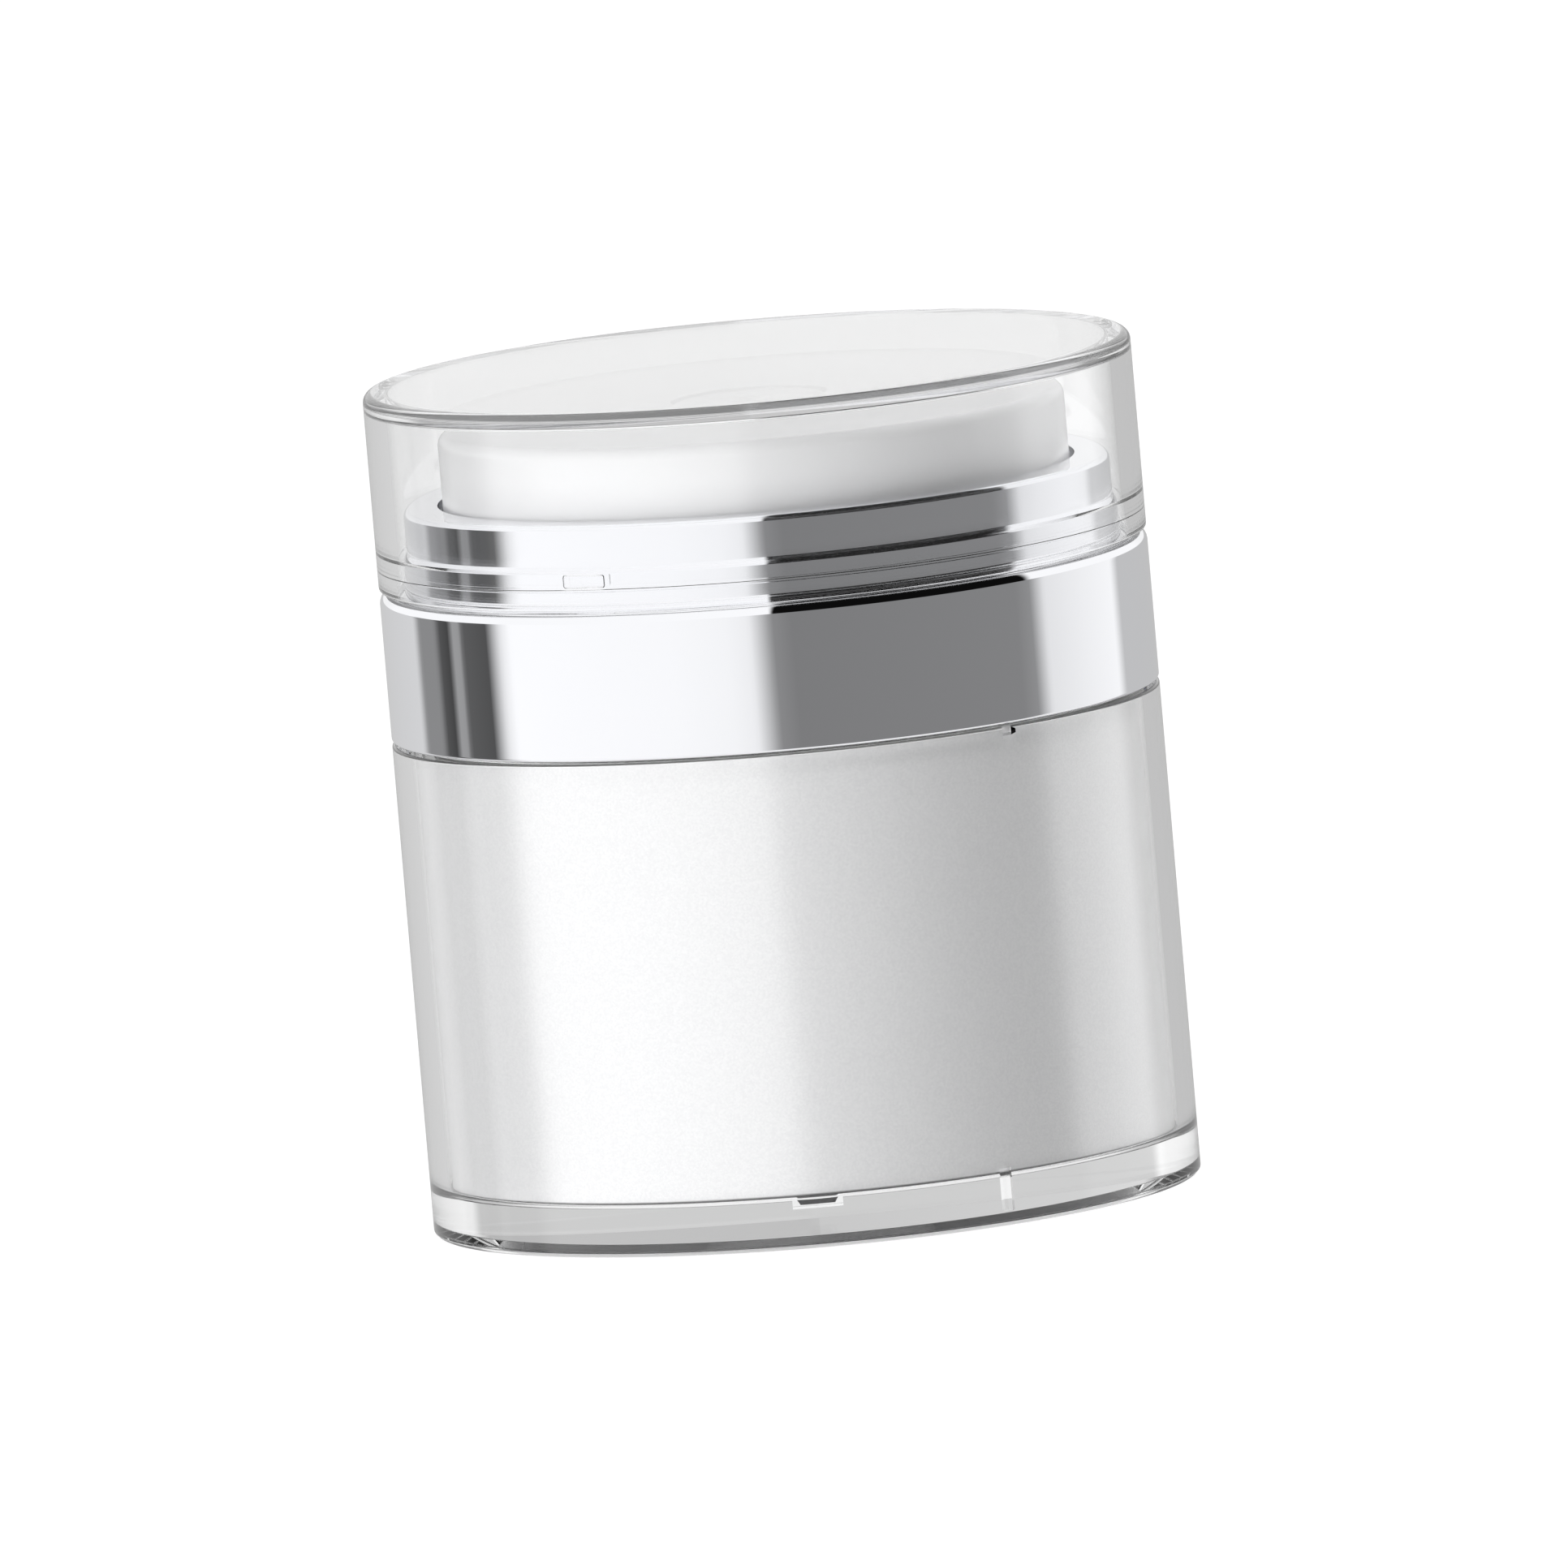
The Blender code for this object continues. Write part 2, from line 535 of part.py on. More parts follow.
def make_piston(parent):
    soft = finish("piston_polyethylene", (0.80, 0.81, 0.82), 0.4)
    wiper = CYLINDER_BORE - FIT
    waist = wiper - PISTON_WAIST
    outline = [(STEM_HOLE, PISTON_BOTTOM), (wiper, PISTON_BOTTOM), (wiper, PISTON_BOTTOM + PISTON_WIPER),
               (waist, PISTON_BOTTOM + PISTON_WIPER), (waist, PISTON_TOP - PISTON_WIPER),
               (wiper, PISTON_TOP - PISTON_WIPER), (wiper, PISTON_TOP), (STEM_HOLE, PISTON_TOP)]
    turned("pump_piston", outline, PUMP_SIDES, parent, soft)


def make_stem(parent):
    white = finish("stem_polypropylene", (0.86, 0.86, 0.86), 0.35)
    turned("stem", ring_section(STEM_BORE, STEM_RADIUS, STEM_BOTTOM, STEM_TOP), PUMP_SIDES, parent, white)


def make_bush(parent):
    white = finish("bush_acetal", (0.88, 0.88, 0.88), 0.35)
    plug = CYLINDER_BORE - FIT
    plug_bottom = CYLINDER_TOP - BUSH_PLUG
    outline = [(STEM_HOLE, plug_bottom), (plug, plug_bottom), (plug, BUSH_BOTTOM),
               (CYLINDER_RADIUS, BUSH_BOTTOM), (CYLINDER_RADIUS, BUSH_TOP), (STEM_HOLE, BUSH_TOP)]
    turned("lock_bush", outline, PUMP_SIDES, parent, white)


def spring_points():
    # The first and the last turn are wound close, and the turns between them are open.
    open_rise = SPRING_HEIGHT - SPRING_WIRE - 2 * SPRING_CLOSE_PITCH
    open_turns = SPRING_TURNS - 2
    points = []
    for step in range(SPRING_TURNS * SPRING_POINTS + 1):
        turns = step / SPRING_POINTS
        opened = min(max(turns - 1, 0), open_turns)
        closed = turns - opened
        height = SPRING_BOTTOM + SPRING_WIRE / 2 + SPRING_CLOSE_PITCH * closed
        height += open_rise * opened / open_turns
        angle = math.tau * turns
        points.append((SPRING_CENTRE * math.cos(angle), SPRING_CENTRE * math.sin(angle), height))
    return points


def make_spring(parent):
    steel = finish("spring_steel", (0.62, 0.62, 0.63), 0.25, metallic=1.0)
    points = spring_points()
    curve = bpy.data.curves.new("return_spring", "CURVE")
    curve.dimensions = "3D"
    curve.bevel_depth = SPRING_WIRE / 2
    curve.bevel_resolution = 1
    curve.use_fill_caps = True
    line = curve.splines.new("POLY")
    line.points.add(len(points) - 1)
    for target, point in zip(line.points, points):
        target.co = (*point, 1.0)
    curve.materials.append(steel)
    spring = bpy.data.objects.new("return_spring", curve)
    bpy.context.collection.objects.link(spring)
    spring.parent = parent
    gaps = [math.dist(points[index], points[index + SPRING_POINTS])
            for index in range(len(points) - SPRING_POINTS)]
    print("least gap between spring turns, mm:", round((min(gaps) - SPRING_WIRE) * 1000, 2))


def make_sleeve(parent):
    white = finish("sleeve_polypropylene", (0.80, 0.80, 0.80), 0.4)
    land = FLANGE_RADIUS - SLEEVE_LAND
    outline = [(SLEEVE_BORE, SLEEVE_BOTTOM), (SLEEVE_RADIUS, SLEEVE_BOTTOM), (SLEEVE_RADIUS, SLEEVE_TOP),
               (land, SLEEVE_TOP), (land, SLEEVE_FLANGE_BOTTOM), (SLEEVE_BORE, SLEEVE_FLANGE_BOTTOM)]
    sleeve = turned("thread_sleeve", outline, INNER_SIDES, parent, white)
    cup_last_turn = CUP_RIM - THREAD_RIM_GAP - THREAD_ROOT_WIDTH / 2
    start = cup_last_turn - THREAD_PITCH * (THREAD_TURNS + 0.5)
    ridge = thread_tool("sleeve_thread", SLEEVE_BORE, SLEEVE_BORE - THREAD_HEIGHT, start)
    combine(sleeve, ridge, "UNION")


def make_collar(parent):
    metal = finish("metallised_collar", (0.82, 0.82, 0.84), 0.05, metallic=1.0)
    outline = [(COLLAR_BORE, COLLAR_BOTTOM), (JAR_RADIUS, COLLAR_BOTTOM), (JAR_RADIUS, BAND_TOP),
               (LOWER_RING_RADIUS, BAND_TOP), (LOWER_RING_RADIUS, LOWER_RING_TOP),
               (UPPER_RING_RADIUS, LOWER_RING_TOP), (UPPER_RING_RADIUS, UPPER_RING_TOP),
               (NECK_RADIUS, UPPER_RING_TOP)]
    outline += quarter(NECK_RADIUS - NECK_ROUND, NECK_TOP - NECK_ROUND, NECK_ROUND, 0, 90)
    outline += [(NECK_OPENING, NECK_TOP), (NECK_OPENING, GUIDE_BOTTOM), (NECK_BORE, GUIDE_BOTTOM),
                (NECK_BORE, SHOULDER_UNDERSIDE), (COLLAR_BORE, SHOULDER_UNDERSIDE)]
    turned("collar", outline, OUTER_SIDES, parent, metal)


def make_press_plate(parent):
    white = finish("white_press_plate", (0.90, 0.90, 0.90), 0.15)
    dish_top = PRESS_TOP - PRESS_DISH
    inner = PRESS_RADIUS - PRESS_WALL
    outline = [(inner, PRESS_BOTTOM), (BEAD_RADIUS, PRESS_BOTTOM), (BEAD_RADIUS, BEAD_TOP),
               (PRESS_RADIUS, BEAD_TOP)]
    outline += quarter(PRESS_RADIUS - PRESS_ROUND, PRESS_TOP - PRESS_ROUND, PRESS_ROUND, 0, 90)
    outline += [(INSERT_POCKET, dish_top), (INSERT_POCKET, INSERT_POCKET_BOTTOM),
                (OUTLET_POCKET, INSERT_POCKET_BOTTOM), (OUTLET_POCKET, OUTLET_POCKET_BOTTOM),
                (STEM_HOLE, OUTLET_POCKET_BOTTOM), (STEM_HOLE, HUB_BOTTOM), (HUB_RADIUS, HUB_BOTTOM),
                (HUB_RADIUS, PRESS_UNDERSIDE), (SPRING_CUP_INNER, PRESS_UNDERSIDE),
                (SPRING_CUP_INNER, SPRING_CUP_BOTTOM), (SPRING_CUP_OUTER, SPRING_CUP_BOTTOM),
                (SPRING_CUP_OUTER, PRESS_UNDERSIDE), (inner, PRESS_UNDERSIDE)]
    turned("press_plate", outline, OUTER_SIDES, parent, white)


def make_outlet_valve(parent):
    rubber = finish("outlet_silicone", (0.78, 0.78, 0.77), 0.5)
    bottom = OUTLET_POCKET_BOTTOM + FIT
    top = INSERT_POCKET_BOTTOM
    radius = OUTLET_POCKET - FIT
    outline = [(OUTLET_SLIT, top - OUTLET_LIP), (STEM_BORE, bottom), (radius, bottom), (radius, top),
               (STEM_BORE, top), (OUTLET_SLIT, top)]
    turned("outlet_valve", outline, PUMP_SIDES, parent, rubber)


def make_orifice_insert(parent):
    white = finish("insert_white", (0.88, 0.88, 0.88), 0.2)
    bottom = INSERT_POCKET_BOTTOM + FIT
    top = PRESS_TOP - PRESS_DISH - INSERT_RECESS
    outline = [(ORIFICE, bottom), (INSERT_POCKET - FIT, bottom), (INSERT_POCKET - FIT, top),
               (ORIFICE_MOUTH, top), (ORIFICE, (bottom + top) / 2)]
    turned("orifice_insert", outline, PUMP_SIDES, parent, white)


def make_overcap(parent):
    clear = finish("clear_overcap", (0.94, 0.95, 0.96), 0.03, clear=1.0)
    inner = CAP_BORE - CAP_STEP
    middle = CAP_BORE - CAP_LOWER_STEP
    outline = [(0, CAP_UNDERSIDE), (inner, CAP_UNDERSIDE), (inner, CAP_STEP_HEIGHT),
               (middle, CAP_STEP_HEIGHT), (middle, CAP_LOWER_STEP_HEIGHT), (CAP_BORE, CAP_LOWER_STEP_HEIGHT),
               (CAP_BORE, CAP_BOTTOM), (JAR_RADIUS, CAP_BOTTOM)]
    outline += quarter(JAR_RADIUS - CAP_ROUND, CAP_TOP_HEIGHT - CAP_ROUND, CAP_ROUND, 0, 90)
    outline += [(0, CAP_TOP_HEIGHT)]
    cap = turned("overcap", outline, OUTER_SIDES, parent, clear)
    reach = CAP_BORE - UPPER_RING_RADIUS - FIT
    depth = reach + CAP_WALL / 2
    bottom = CAP_LOWER_STEP_HEIGHT + LUG_INSET
    for index in range(LUG_COUNT):
        lug = box_tool(f"cap_lug_{index + 1}", (LUG_WIDTH, depth, LUG_HEIGHT),
                       (0, -CAP_BORE + reach - depth / 2, bottom + LUG_HEIGHT / 2),
                       LUG_ANGLE + math.tau * index / LUG_COUNT)
        combine(cap, lug, "UNION")


def group(name, parent=None):
    empty = bpy.data.objects.new(name, None)
    bpy.context.collection.objects.link(empty)
    empty.parent = parent
    return empty


def build():
    clear_scene()
    jar = group("jar_group")
    make_outer_jar(jar)
    make_liner(jar)
    make_cup(jar)
    make_follower(group("follower_lift", jar))

    gasket = group("head_lift", jar)
    make_gasket(gasket)

    head = group("head_turn", gasket)
    make_carrier(head)
    make_cylinder_seal(head)
    make_cylinder(head)
    make_cage(head)
    make_bush(head)
    make_sleeve(head)
    make_collar(head)
    make_inlet_valve(group("inlet_lift", head))

    actuator = group("press_slide", head)
    make_press_plate(actuator)
    make_outlet_valve(actuator)
    make_orifice_insert(actuator)
    make_stem(actuator)
    make_stem_plug(actuator)
    make_piston(actuator)
    make_spring(actuator)

    make_overcap(group("cap_lift", head))


build()
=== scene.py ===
import json
import math

import bmesh
import bpy
from mathutils import Matrix, Vector


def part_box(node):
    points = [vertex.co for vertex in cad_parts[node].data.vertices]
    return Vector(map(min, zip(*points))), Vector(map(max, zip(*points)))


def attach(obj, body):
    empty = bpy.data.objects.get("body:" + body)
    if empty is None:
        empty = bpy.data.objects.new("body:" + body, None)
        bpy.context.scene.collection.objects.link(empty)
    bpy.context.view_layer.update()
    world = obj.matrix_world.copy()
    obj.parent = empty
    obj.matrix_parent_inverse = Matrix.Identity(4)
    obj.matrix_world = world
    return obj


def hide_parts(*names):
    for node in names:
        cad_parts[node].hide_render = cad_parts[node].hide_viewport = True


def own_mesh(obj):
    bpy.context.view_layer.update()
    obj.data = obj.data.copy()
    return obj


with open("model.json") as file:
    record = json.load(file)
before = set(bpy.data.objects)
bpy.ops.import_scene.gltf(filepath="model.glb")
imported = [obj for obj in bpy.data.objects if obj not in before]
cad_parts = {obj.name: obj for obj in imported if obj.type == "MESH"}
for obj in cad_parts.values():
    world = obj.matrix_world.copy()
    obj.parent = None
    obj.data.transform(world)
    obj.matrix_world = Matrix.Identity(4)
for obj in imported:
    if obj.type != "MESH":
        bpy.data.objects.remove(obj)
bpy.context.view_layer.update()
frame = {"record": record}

mm = 0.001
weld = 0.0015 * mm  # points closer than this are merged
sliver = weld * 0.2  # edges shorter than this are closed up
crease = 40  # degrees: an edge that turns more than this stays crisp


# Helpers for all node trees

def makeNode(tree, kind, **settings):
    made = tree.nodes.new(kind)
    for key, value in settings.items():
        setattr(made, key, value)
    return made


def join(tree, start, end):
    tree.links.new(start, end)


def feed(tree, socket, value):
    if isinstance(value, bpy.types.NodeSocket):
        tree.links.new(value, socket)
    elif value is not None:
        socket.default_value = value


def mathNode(tree, operation, first, second=None):
    made = makeNode(tree, "ShaderNodeMath", operation=operation)
    feed(tree, made.inputs[0], first)
    feed(tree, made.inputs[1], second)
    return made.outputs[0]


def addInput(tree, name, kind, value=None):
    made = tree.interface.new_socket(name, in_out="INPUT", socket_type=kind)
    if value is not None:
        made.default_value = value
    return made


def addOutput(tree, name, kind):
    return tree.interface.new_socket(name, in_out="OUTPUT", socket_type=kind)


def between(tree, value, least, most):  # 1 between the two values, otherwise 0
    return mathNode(tree, "MULTIPLY", mathNode(tree, "GREATER_THAN", value, least),
                    mathNode(tree, "LESS_THAN", value, most))


def fade(tree, value, span, first=0.0, last=1.0):
    made = makeNode(tree, "ShaderNodeMapRange", interpolation_type="SMOOTHSTEP")
    join(tree, value, made.inputs["Value"])
    made.inputs["From Min"].default_value = span[0]
    made.inputs["From Max"].default_value = span[1]
    made.inputs["To Min"].default_value = first
    made.inputs["To Max"].default_value = last
    return made.outputs[0]


def mixValue(tree, share, first, second):
    made = makeNode(tree, "ShaderNodeMix", data_type="FLOAT")
    feed(tree, made.inputs[0], share)
    feed(tree, made.inputs[2], first)
    feed(tree, made.inputs[3], second)
    return made.outputs[0]


def mixColour(tree, share, first, second):
    made = makeNode(tree, "ShaderNodeMix", data_type="RGBA")
    feed(tree, made.inputs[0], share)
    feed(tree, made.inputs[6], first)
    feed(tree, made.inputs[7], second)
    return made.outputs[2]


def noise(tree, place, scale, detail):
    made = makeNode(tree, "ShaderNodeTexNoise", noise_dimensions="3D")
    made.inputs["Detail"].default_value = detail
    join(tree, place, made.inputs["Vector"])
    join(tree, scale, made.inputs["Scale"])
    return made.outputs[0]


def startGroup(name, inputs, outputs):  # a shader group that reads a position
    tree = bpy.data.node_groups.new(name, "ShaderNodeTree")
    addInput(tree, "Position", "NodeSocketVector")
    for word, value in inputs.items():
        kind = "NodeSocketColor" if isinstance(value, tuple) else "NodeSocketFloat"
        addInput(tree, word, kind, value)
    for word, kind in outputs.items():
        addOutput(tree, word, kind)
    return tree, makeNode(tree, "NodeGroupInput"), makeNode(tree, "NodeGroupOutput")


def placeGroup(tree, group, place, values):
    made = makeNode(tree, "ShaderNodeGroup", node_tree=group)
    join(tree, place, made.inputs["Position"])
    for word, value in values.items():
        made.inputs[word].default_value = value
    return made


# Shader groups that several finishes share

def makeWanderGroup():  # slow change of gloss over a moulded face, with fine polishing marks on top
    wideShare, fineShare, fineTimes = 0.7, 0.3, 17.0
    tree, source, result = startGroup(
        "glossWander", {"Middle": 0.3, "Spread": 0.05, "Patches": 90.0},
        {"Gloss": "NodeSocketFloat", "Wander": "NodeSocketFloat"})
    place, patches = source.outputs["Position"], source.outputs["Patches"]
    wide = noise(tree, place, patches, 3.0)
    fine = noise(tree, place, mathNode(tree, "MULTIPLY", patches, fineTimes), 2.0)
    both = mathNode(tree, "ADD", mathNode(tree, "MULTIPLY", wide, wideShare),
                    mathNode(tree, "MULTIPLY", fine, fineShare))
    centred = mathNode(tree, "MULTIPLY", mathNode(tree, "SUBTRACT", both, 0.5), 2.0)
    gloss = mathNode(tree, "ADD", source.outputs["Middle"],
                     mathNode(tree, "MULTIPLY", centred, source.outputs["Spread"]))
    join(tree, mathNode(tree, "MAXIMUM", gloss, 0.0), result.inputs["Gloss"])
    join(tree, both, result.inputs["Wander"])
    return tree


def makeGrainGroup():  # height of the fine grain that a mould leaves
    tree, source, result = startGroup(
        "mouldGrain", {"Grain": 2500.0, "Waves": 120.0, "Wave share": 0.4},
        {"Height": "NodeSocketFloat"})
    place, waveShare = source.outputs["Position"], source.outputs["Wave share"]
    grain = noise(tree, place, source.outputs["Grain"], 2.0)
    waves = noise(tree, place, source.outputs["Waves"], 1.0)
    rest = mathNode(tree, "SUBTRACT", 1.0, waveShare)
    height = mathNode(tree, "ADD", mathNode(tree, "MULTIPLY", grain, rest),
                      mathNode(tree, "MULTIPLY", waves, waveShare))
    join(tree, height, result.inputs["Height"])
    return tree


def makeFlakeGroup():  # pearl flakes: small cells, each with its own brightness
    tree, source, result = startGroup(
        "pearlFlake", {"Dark": (0.8, 0.8, 0.81, 1.0), "Light": (0.92, 0.92, 0.93, 1.0), "Flakes": 9000.0},
        {"Colour": "NodeSocketColor"})
    cells = makeNode(tree, "ShaderNodeTexVoronoi", feature="F1")
    join(tree, source.outputs["Position"], cells.inputs["Vector"])
    join(tree, source.outputs["Flakes"], cells.inputs["Scale"])
    split = makeNode(tree, "ShaderNodeSeparateColor")
    join(tree, cells.outputs["Color"], split.inputs[0])
    colour = mixColour(tree, split.outputs[0], source.outputs["Dark"], source.outputs["Light"])
    join(tree, colour, result.inputs["Colour"])
    return tree


wanderGroup = makeWanderGroup()
grainGroup = makeGrainGroup()
flakeGroup = makeFlakeGroup()
print("shader groups ready")


# Finishes, one dictionary each

clearAcrylic = {
    "name": "clearAcrylic", "tint": (0.998, 0.999, 1.0), "shade": (0.993, 0.995, 0.997),
    "gloss": 0.006, "spread": 0.006, "patches": 60.0, "transmission": 1.0, "ior": 1.49,
    "grain": 900.0, "waves": 70.0, "waveShare": 0.97, "bump": 0.012, "depth": 0.04 * mm,
}
pearlWhite = {
    "name": "pearlWhite", "tint": (0.95, 0.95, 0.953), "shade": (0.885, 0.885, 0.892),
    "gloss": 0.2, "spread": 0.05, "patches": 80.0, "metallic": 0.12, "flakes": 7000.0, "ior": 1.55,
    # painted shade: below the first of these heights the wall's foot and key take the dark colour that
    # follows, for the shade there; by the second height the pearl colour is back
    "paintedShadeTop": (4.1 * mm, 4.36 * mm), "paintedShadeColour": (0.07, 0.07, 0.072),
    "grain": 5000.0, "waves": 150.0, "waveShare": 0.5, "bump": 0.04, "depth": 0.03 * mm,
}
glossWhite = {
    "name": "glossWhite", "tint": (0.89, 0.89, 0.892), "shade": (0.86, 0.86, 0.864),
    "gloss": 0.22, "spread": 0.05, "patches": 70.0,
    "grain": 3200.0, "waves": 160.0, "waveShare": 0.6, "bump": 0.03, "depth": 0.03 * mm,
}
polyWhite = {
    "name": "polyWhite", "tint": (0.86, 0.86, 0.85), "shade": (0.82, 0.82, 0.81),
    "gloss": 0.46, "spread": 0.07, "patches": 120.0,
    "grain": 2600.0, "waves": 200.0, "waveShare": 0.3, "bump": 0.10, "depth": 0.04 * mm,
}
naturalPoly = {
    "name": "naturalPoly", "tint": (0.84, 0.85, 0.84), "shade": (0.77, 0.79, 0.78),
    "gloss": 0.42, "spread": 0.08, "patches": 140.0, "transmission": 0.35, "ior": 1.5,
    "grain": 2200.0, "waves": 180.0, "waveShare": 0.3, "bump": 0.10, "depth": 0.04 * mm,
}
paleSilicone = {
    "name": "paleSilicone", "tint": (0.74, 0.74, 0.73), "shade": (0.66, 0.66, 0.65),
    "gloss": 0.5, "spread": 0.08, "patches": 160.0, "transmission": 0.2, "ior": 1.41,
    "grain": 3000.0, "waves": 220.0, "waveShare": 0.3, "bump": 0.08, "depth": 0.03 * mm,
}
blackRubber = {
    "name": "blackRubber", "tint": (0.05, 0.05, 0.052), "shade": (0.022, 0.022, 0.024),
    "gloss": 0.52, "spread": 0.1, "patches": 260.0,
    "grain": 4200.0, "waves": 300.0, "waveShare": 0.2, "bump": 0.15, "depth": 0.03 * mm,
}
mirrorMetal = {
    "name": "mirrorMetal", "tint": (0.958, 0.964, 0.99), "shade": (0.935, 0.941, 0.968),
    "gloss": 0.018, "spread": 0.012, "patches": 90.0, "metallic": 1.0,
    "grain": 1500.0, "waves": 60.0, "waveShare": 0.96, "bump": 0.02, "depth": 0.02 * mm,
}
springWire = {
    "name": "springWire", "tint": (0.66, 0.66, 0.67), "shade": (0.5, 0.5, 0.52),
    "gloss": 0.24, "spread": 0.1, "patches": 500.0, "metallic": 1.0,
    "grain": 9000.0, "waves": 900.0, "waveShare": 0.4, "bump": 0.12, "depth": 0.02 * mm,
}


def makeFinish(look):
    material = bpy.data.materials.new(look["name"])
    material.use_nodes = True
    tree = material.node_tree
    tree.nodes.clear()
    output = makeNode(tree, "ShaderNodeOutputMaterial")
    shader = makeNode(tree, "ShaderNodeBsdfPrincipled")
    join(tree, shader.outputs[0], output.inputs[0])
    place = makeNode(tree, "ShaderNodeTexCoord").outputs["Object"]
    wander = placeGroup(tree, wanderGroup, place, {
        "Middle": look["gloss"], "Spread": look["spread"], "Patches": look["patches"],
    })
    join(tree, wander.outputs["Gloss"], shader.inputs["Roughness"])
    grain = placeGroup(tree, grainGroup, place, {
        "Grain": look["grain"], "Waves": look["waves"], "Wave share": look["waveShare"],
    })
    bump = makeNode(tree, "ShaderNodeBump")
    bump.inputs["Strength"].default_value = look["bump"]
    bump.inputs["Distance"].default_value = look["depth"]
    join(tree, grain.outputs["Height"], bump.inputs["Height"])
    join(tree, bump.outputs[0], shader.inputs["Normal"])
    dark, light = (*look["shade"], 1.0), (*look["tint"], 1.0)
    if "flakes" in look:
        flake = placeGroup(tree, flakeGroup, place, {
            "Dark": dark, "Light": light, "Flakes": look["flakes"],
        })
        # painted shade: the wall's foot and its key are coloured dark below a set height, fading to the pearl
        # colour above it, for the shade where the wall meets the jar's floor
        across = makeNode(tree, "ShaderNodeSeparateXYZ")
        join(tree, place, across.inputs[0])
        abovePaintedShade = fade(tree, across.outputs["Z"], look["paintedShadeTop"])
        colour = mixColour(tree, abovePaintedShade, (*look["paintedShadeColour"], 1.0), flake.outputs["Colour"])
    else:
        colour = mixColour(tree, wander.outputs["Wander"], dark, light)
    join(tree, colour, shader.inputs["Base Color"])
    shader.inputs["Metallic"].default_value = look.get("metallic", 0.0)
    shader.inputs["Transmission Weight"].default_value = look.get("transmission", 0.0)
    shader.inputs["IOR"].default_value = look.get("ior", 1.5)
    return material


finishes = {}
for look in (clearAcrylic, pearlWhite, glossWhite, polyWhite, naturalPoly, paleSilicone,
             blackRubber, mirrorMetal, springWire):
    finishes[look["name"]] = makeFinish(look)
slotFinishes = {
    "clear_acrylic": "clearAcrylic", "pearl_white": "pearlWhite", "gloss_white": "glossWhite",
    "white_plastic": "polyWhite", "natural_plastic": "naturalPoly", "silicone": "paleSilicone",
    "black_seal": "blackRubber", "metallised": "mirrorMetal", "spring_steel": "springWire",
}
nodeSlots = {part["node"]: part["material_slot"] for part in frame["record"]["subparts"]}
print("finishes ready:", len(finishes))


# Geometry Nodes: how each tree starts and ends, and how its points are placed

def startTree(name, lengths, numbers=(), counts=()):
    tree = bpy.data.node_groups.new(name, "GeometryNodeTree")
    addOutput(tree, "Shape", "NodeSocketGeometry")
    for word in lengths:
        addInput(tree, word, "NodeSocketFloat").subtype = "DISTANCE"
    for word in numbers:
        addInput(tree, word, "NodeSocketFloat")
    for word in counts:
        addInput(tree, word, "NodeSocketInt")
    addInput(tree, "finish", "NodeSocketMaterial")
    return tree, makeNode(tree, "NodeGroupInput"), makeNode(tree, "NodeGroupOutput")


def endTree(tree, source, shape, result):
    real = makeNode(tree, "GeometryNodeRealizeInstances")
    join(tree, shape, real.inputs[0])
    paint = makeNode(tree, "GeometryNodeSetMaterial")
    join(tree, real.outputs[0], paint.inputs["Geometry"])
    join(tree, source.outputs["finish"], paint.inputs["Material"])
    join(tree, paint.outputs[0], result.inputs[0])


def placePoints(tree, shape, x, y, z=None):
    place = makeNode(tree, "ShaderNodeCombineXYZ")
    feed(tree, place.inputs["X"], x)
    feed(tree, place.inputs["Y"], y)
    feed(tree, place.inputs["Z"], z)
    move = makeNode(tree, "GeometryNodeSetPosition")
    join(tree, shape, move.inputs["Geometry"])
    join(tree, place.outputs[0], move.inputs["Position"])
    return move.outputs[0]


def placeRound(tree, shape, radius, angle, height):  # the angle runs from the front towards the right
    back = mathNode(tree, "MULTIPLY", mathNode(tree, "COSINE", angle), -1.0)
    return placePoints(tree, shape, mathNode(tree, "MULTIPLY", radius, mathNode(tree, "SINE", angle)),
                       mathNode(tree, "MULTIPLY", radius, back), height)


# Geometry Nodes: a turned piece, from the corners of its section

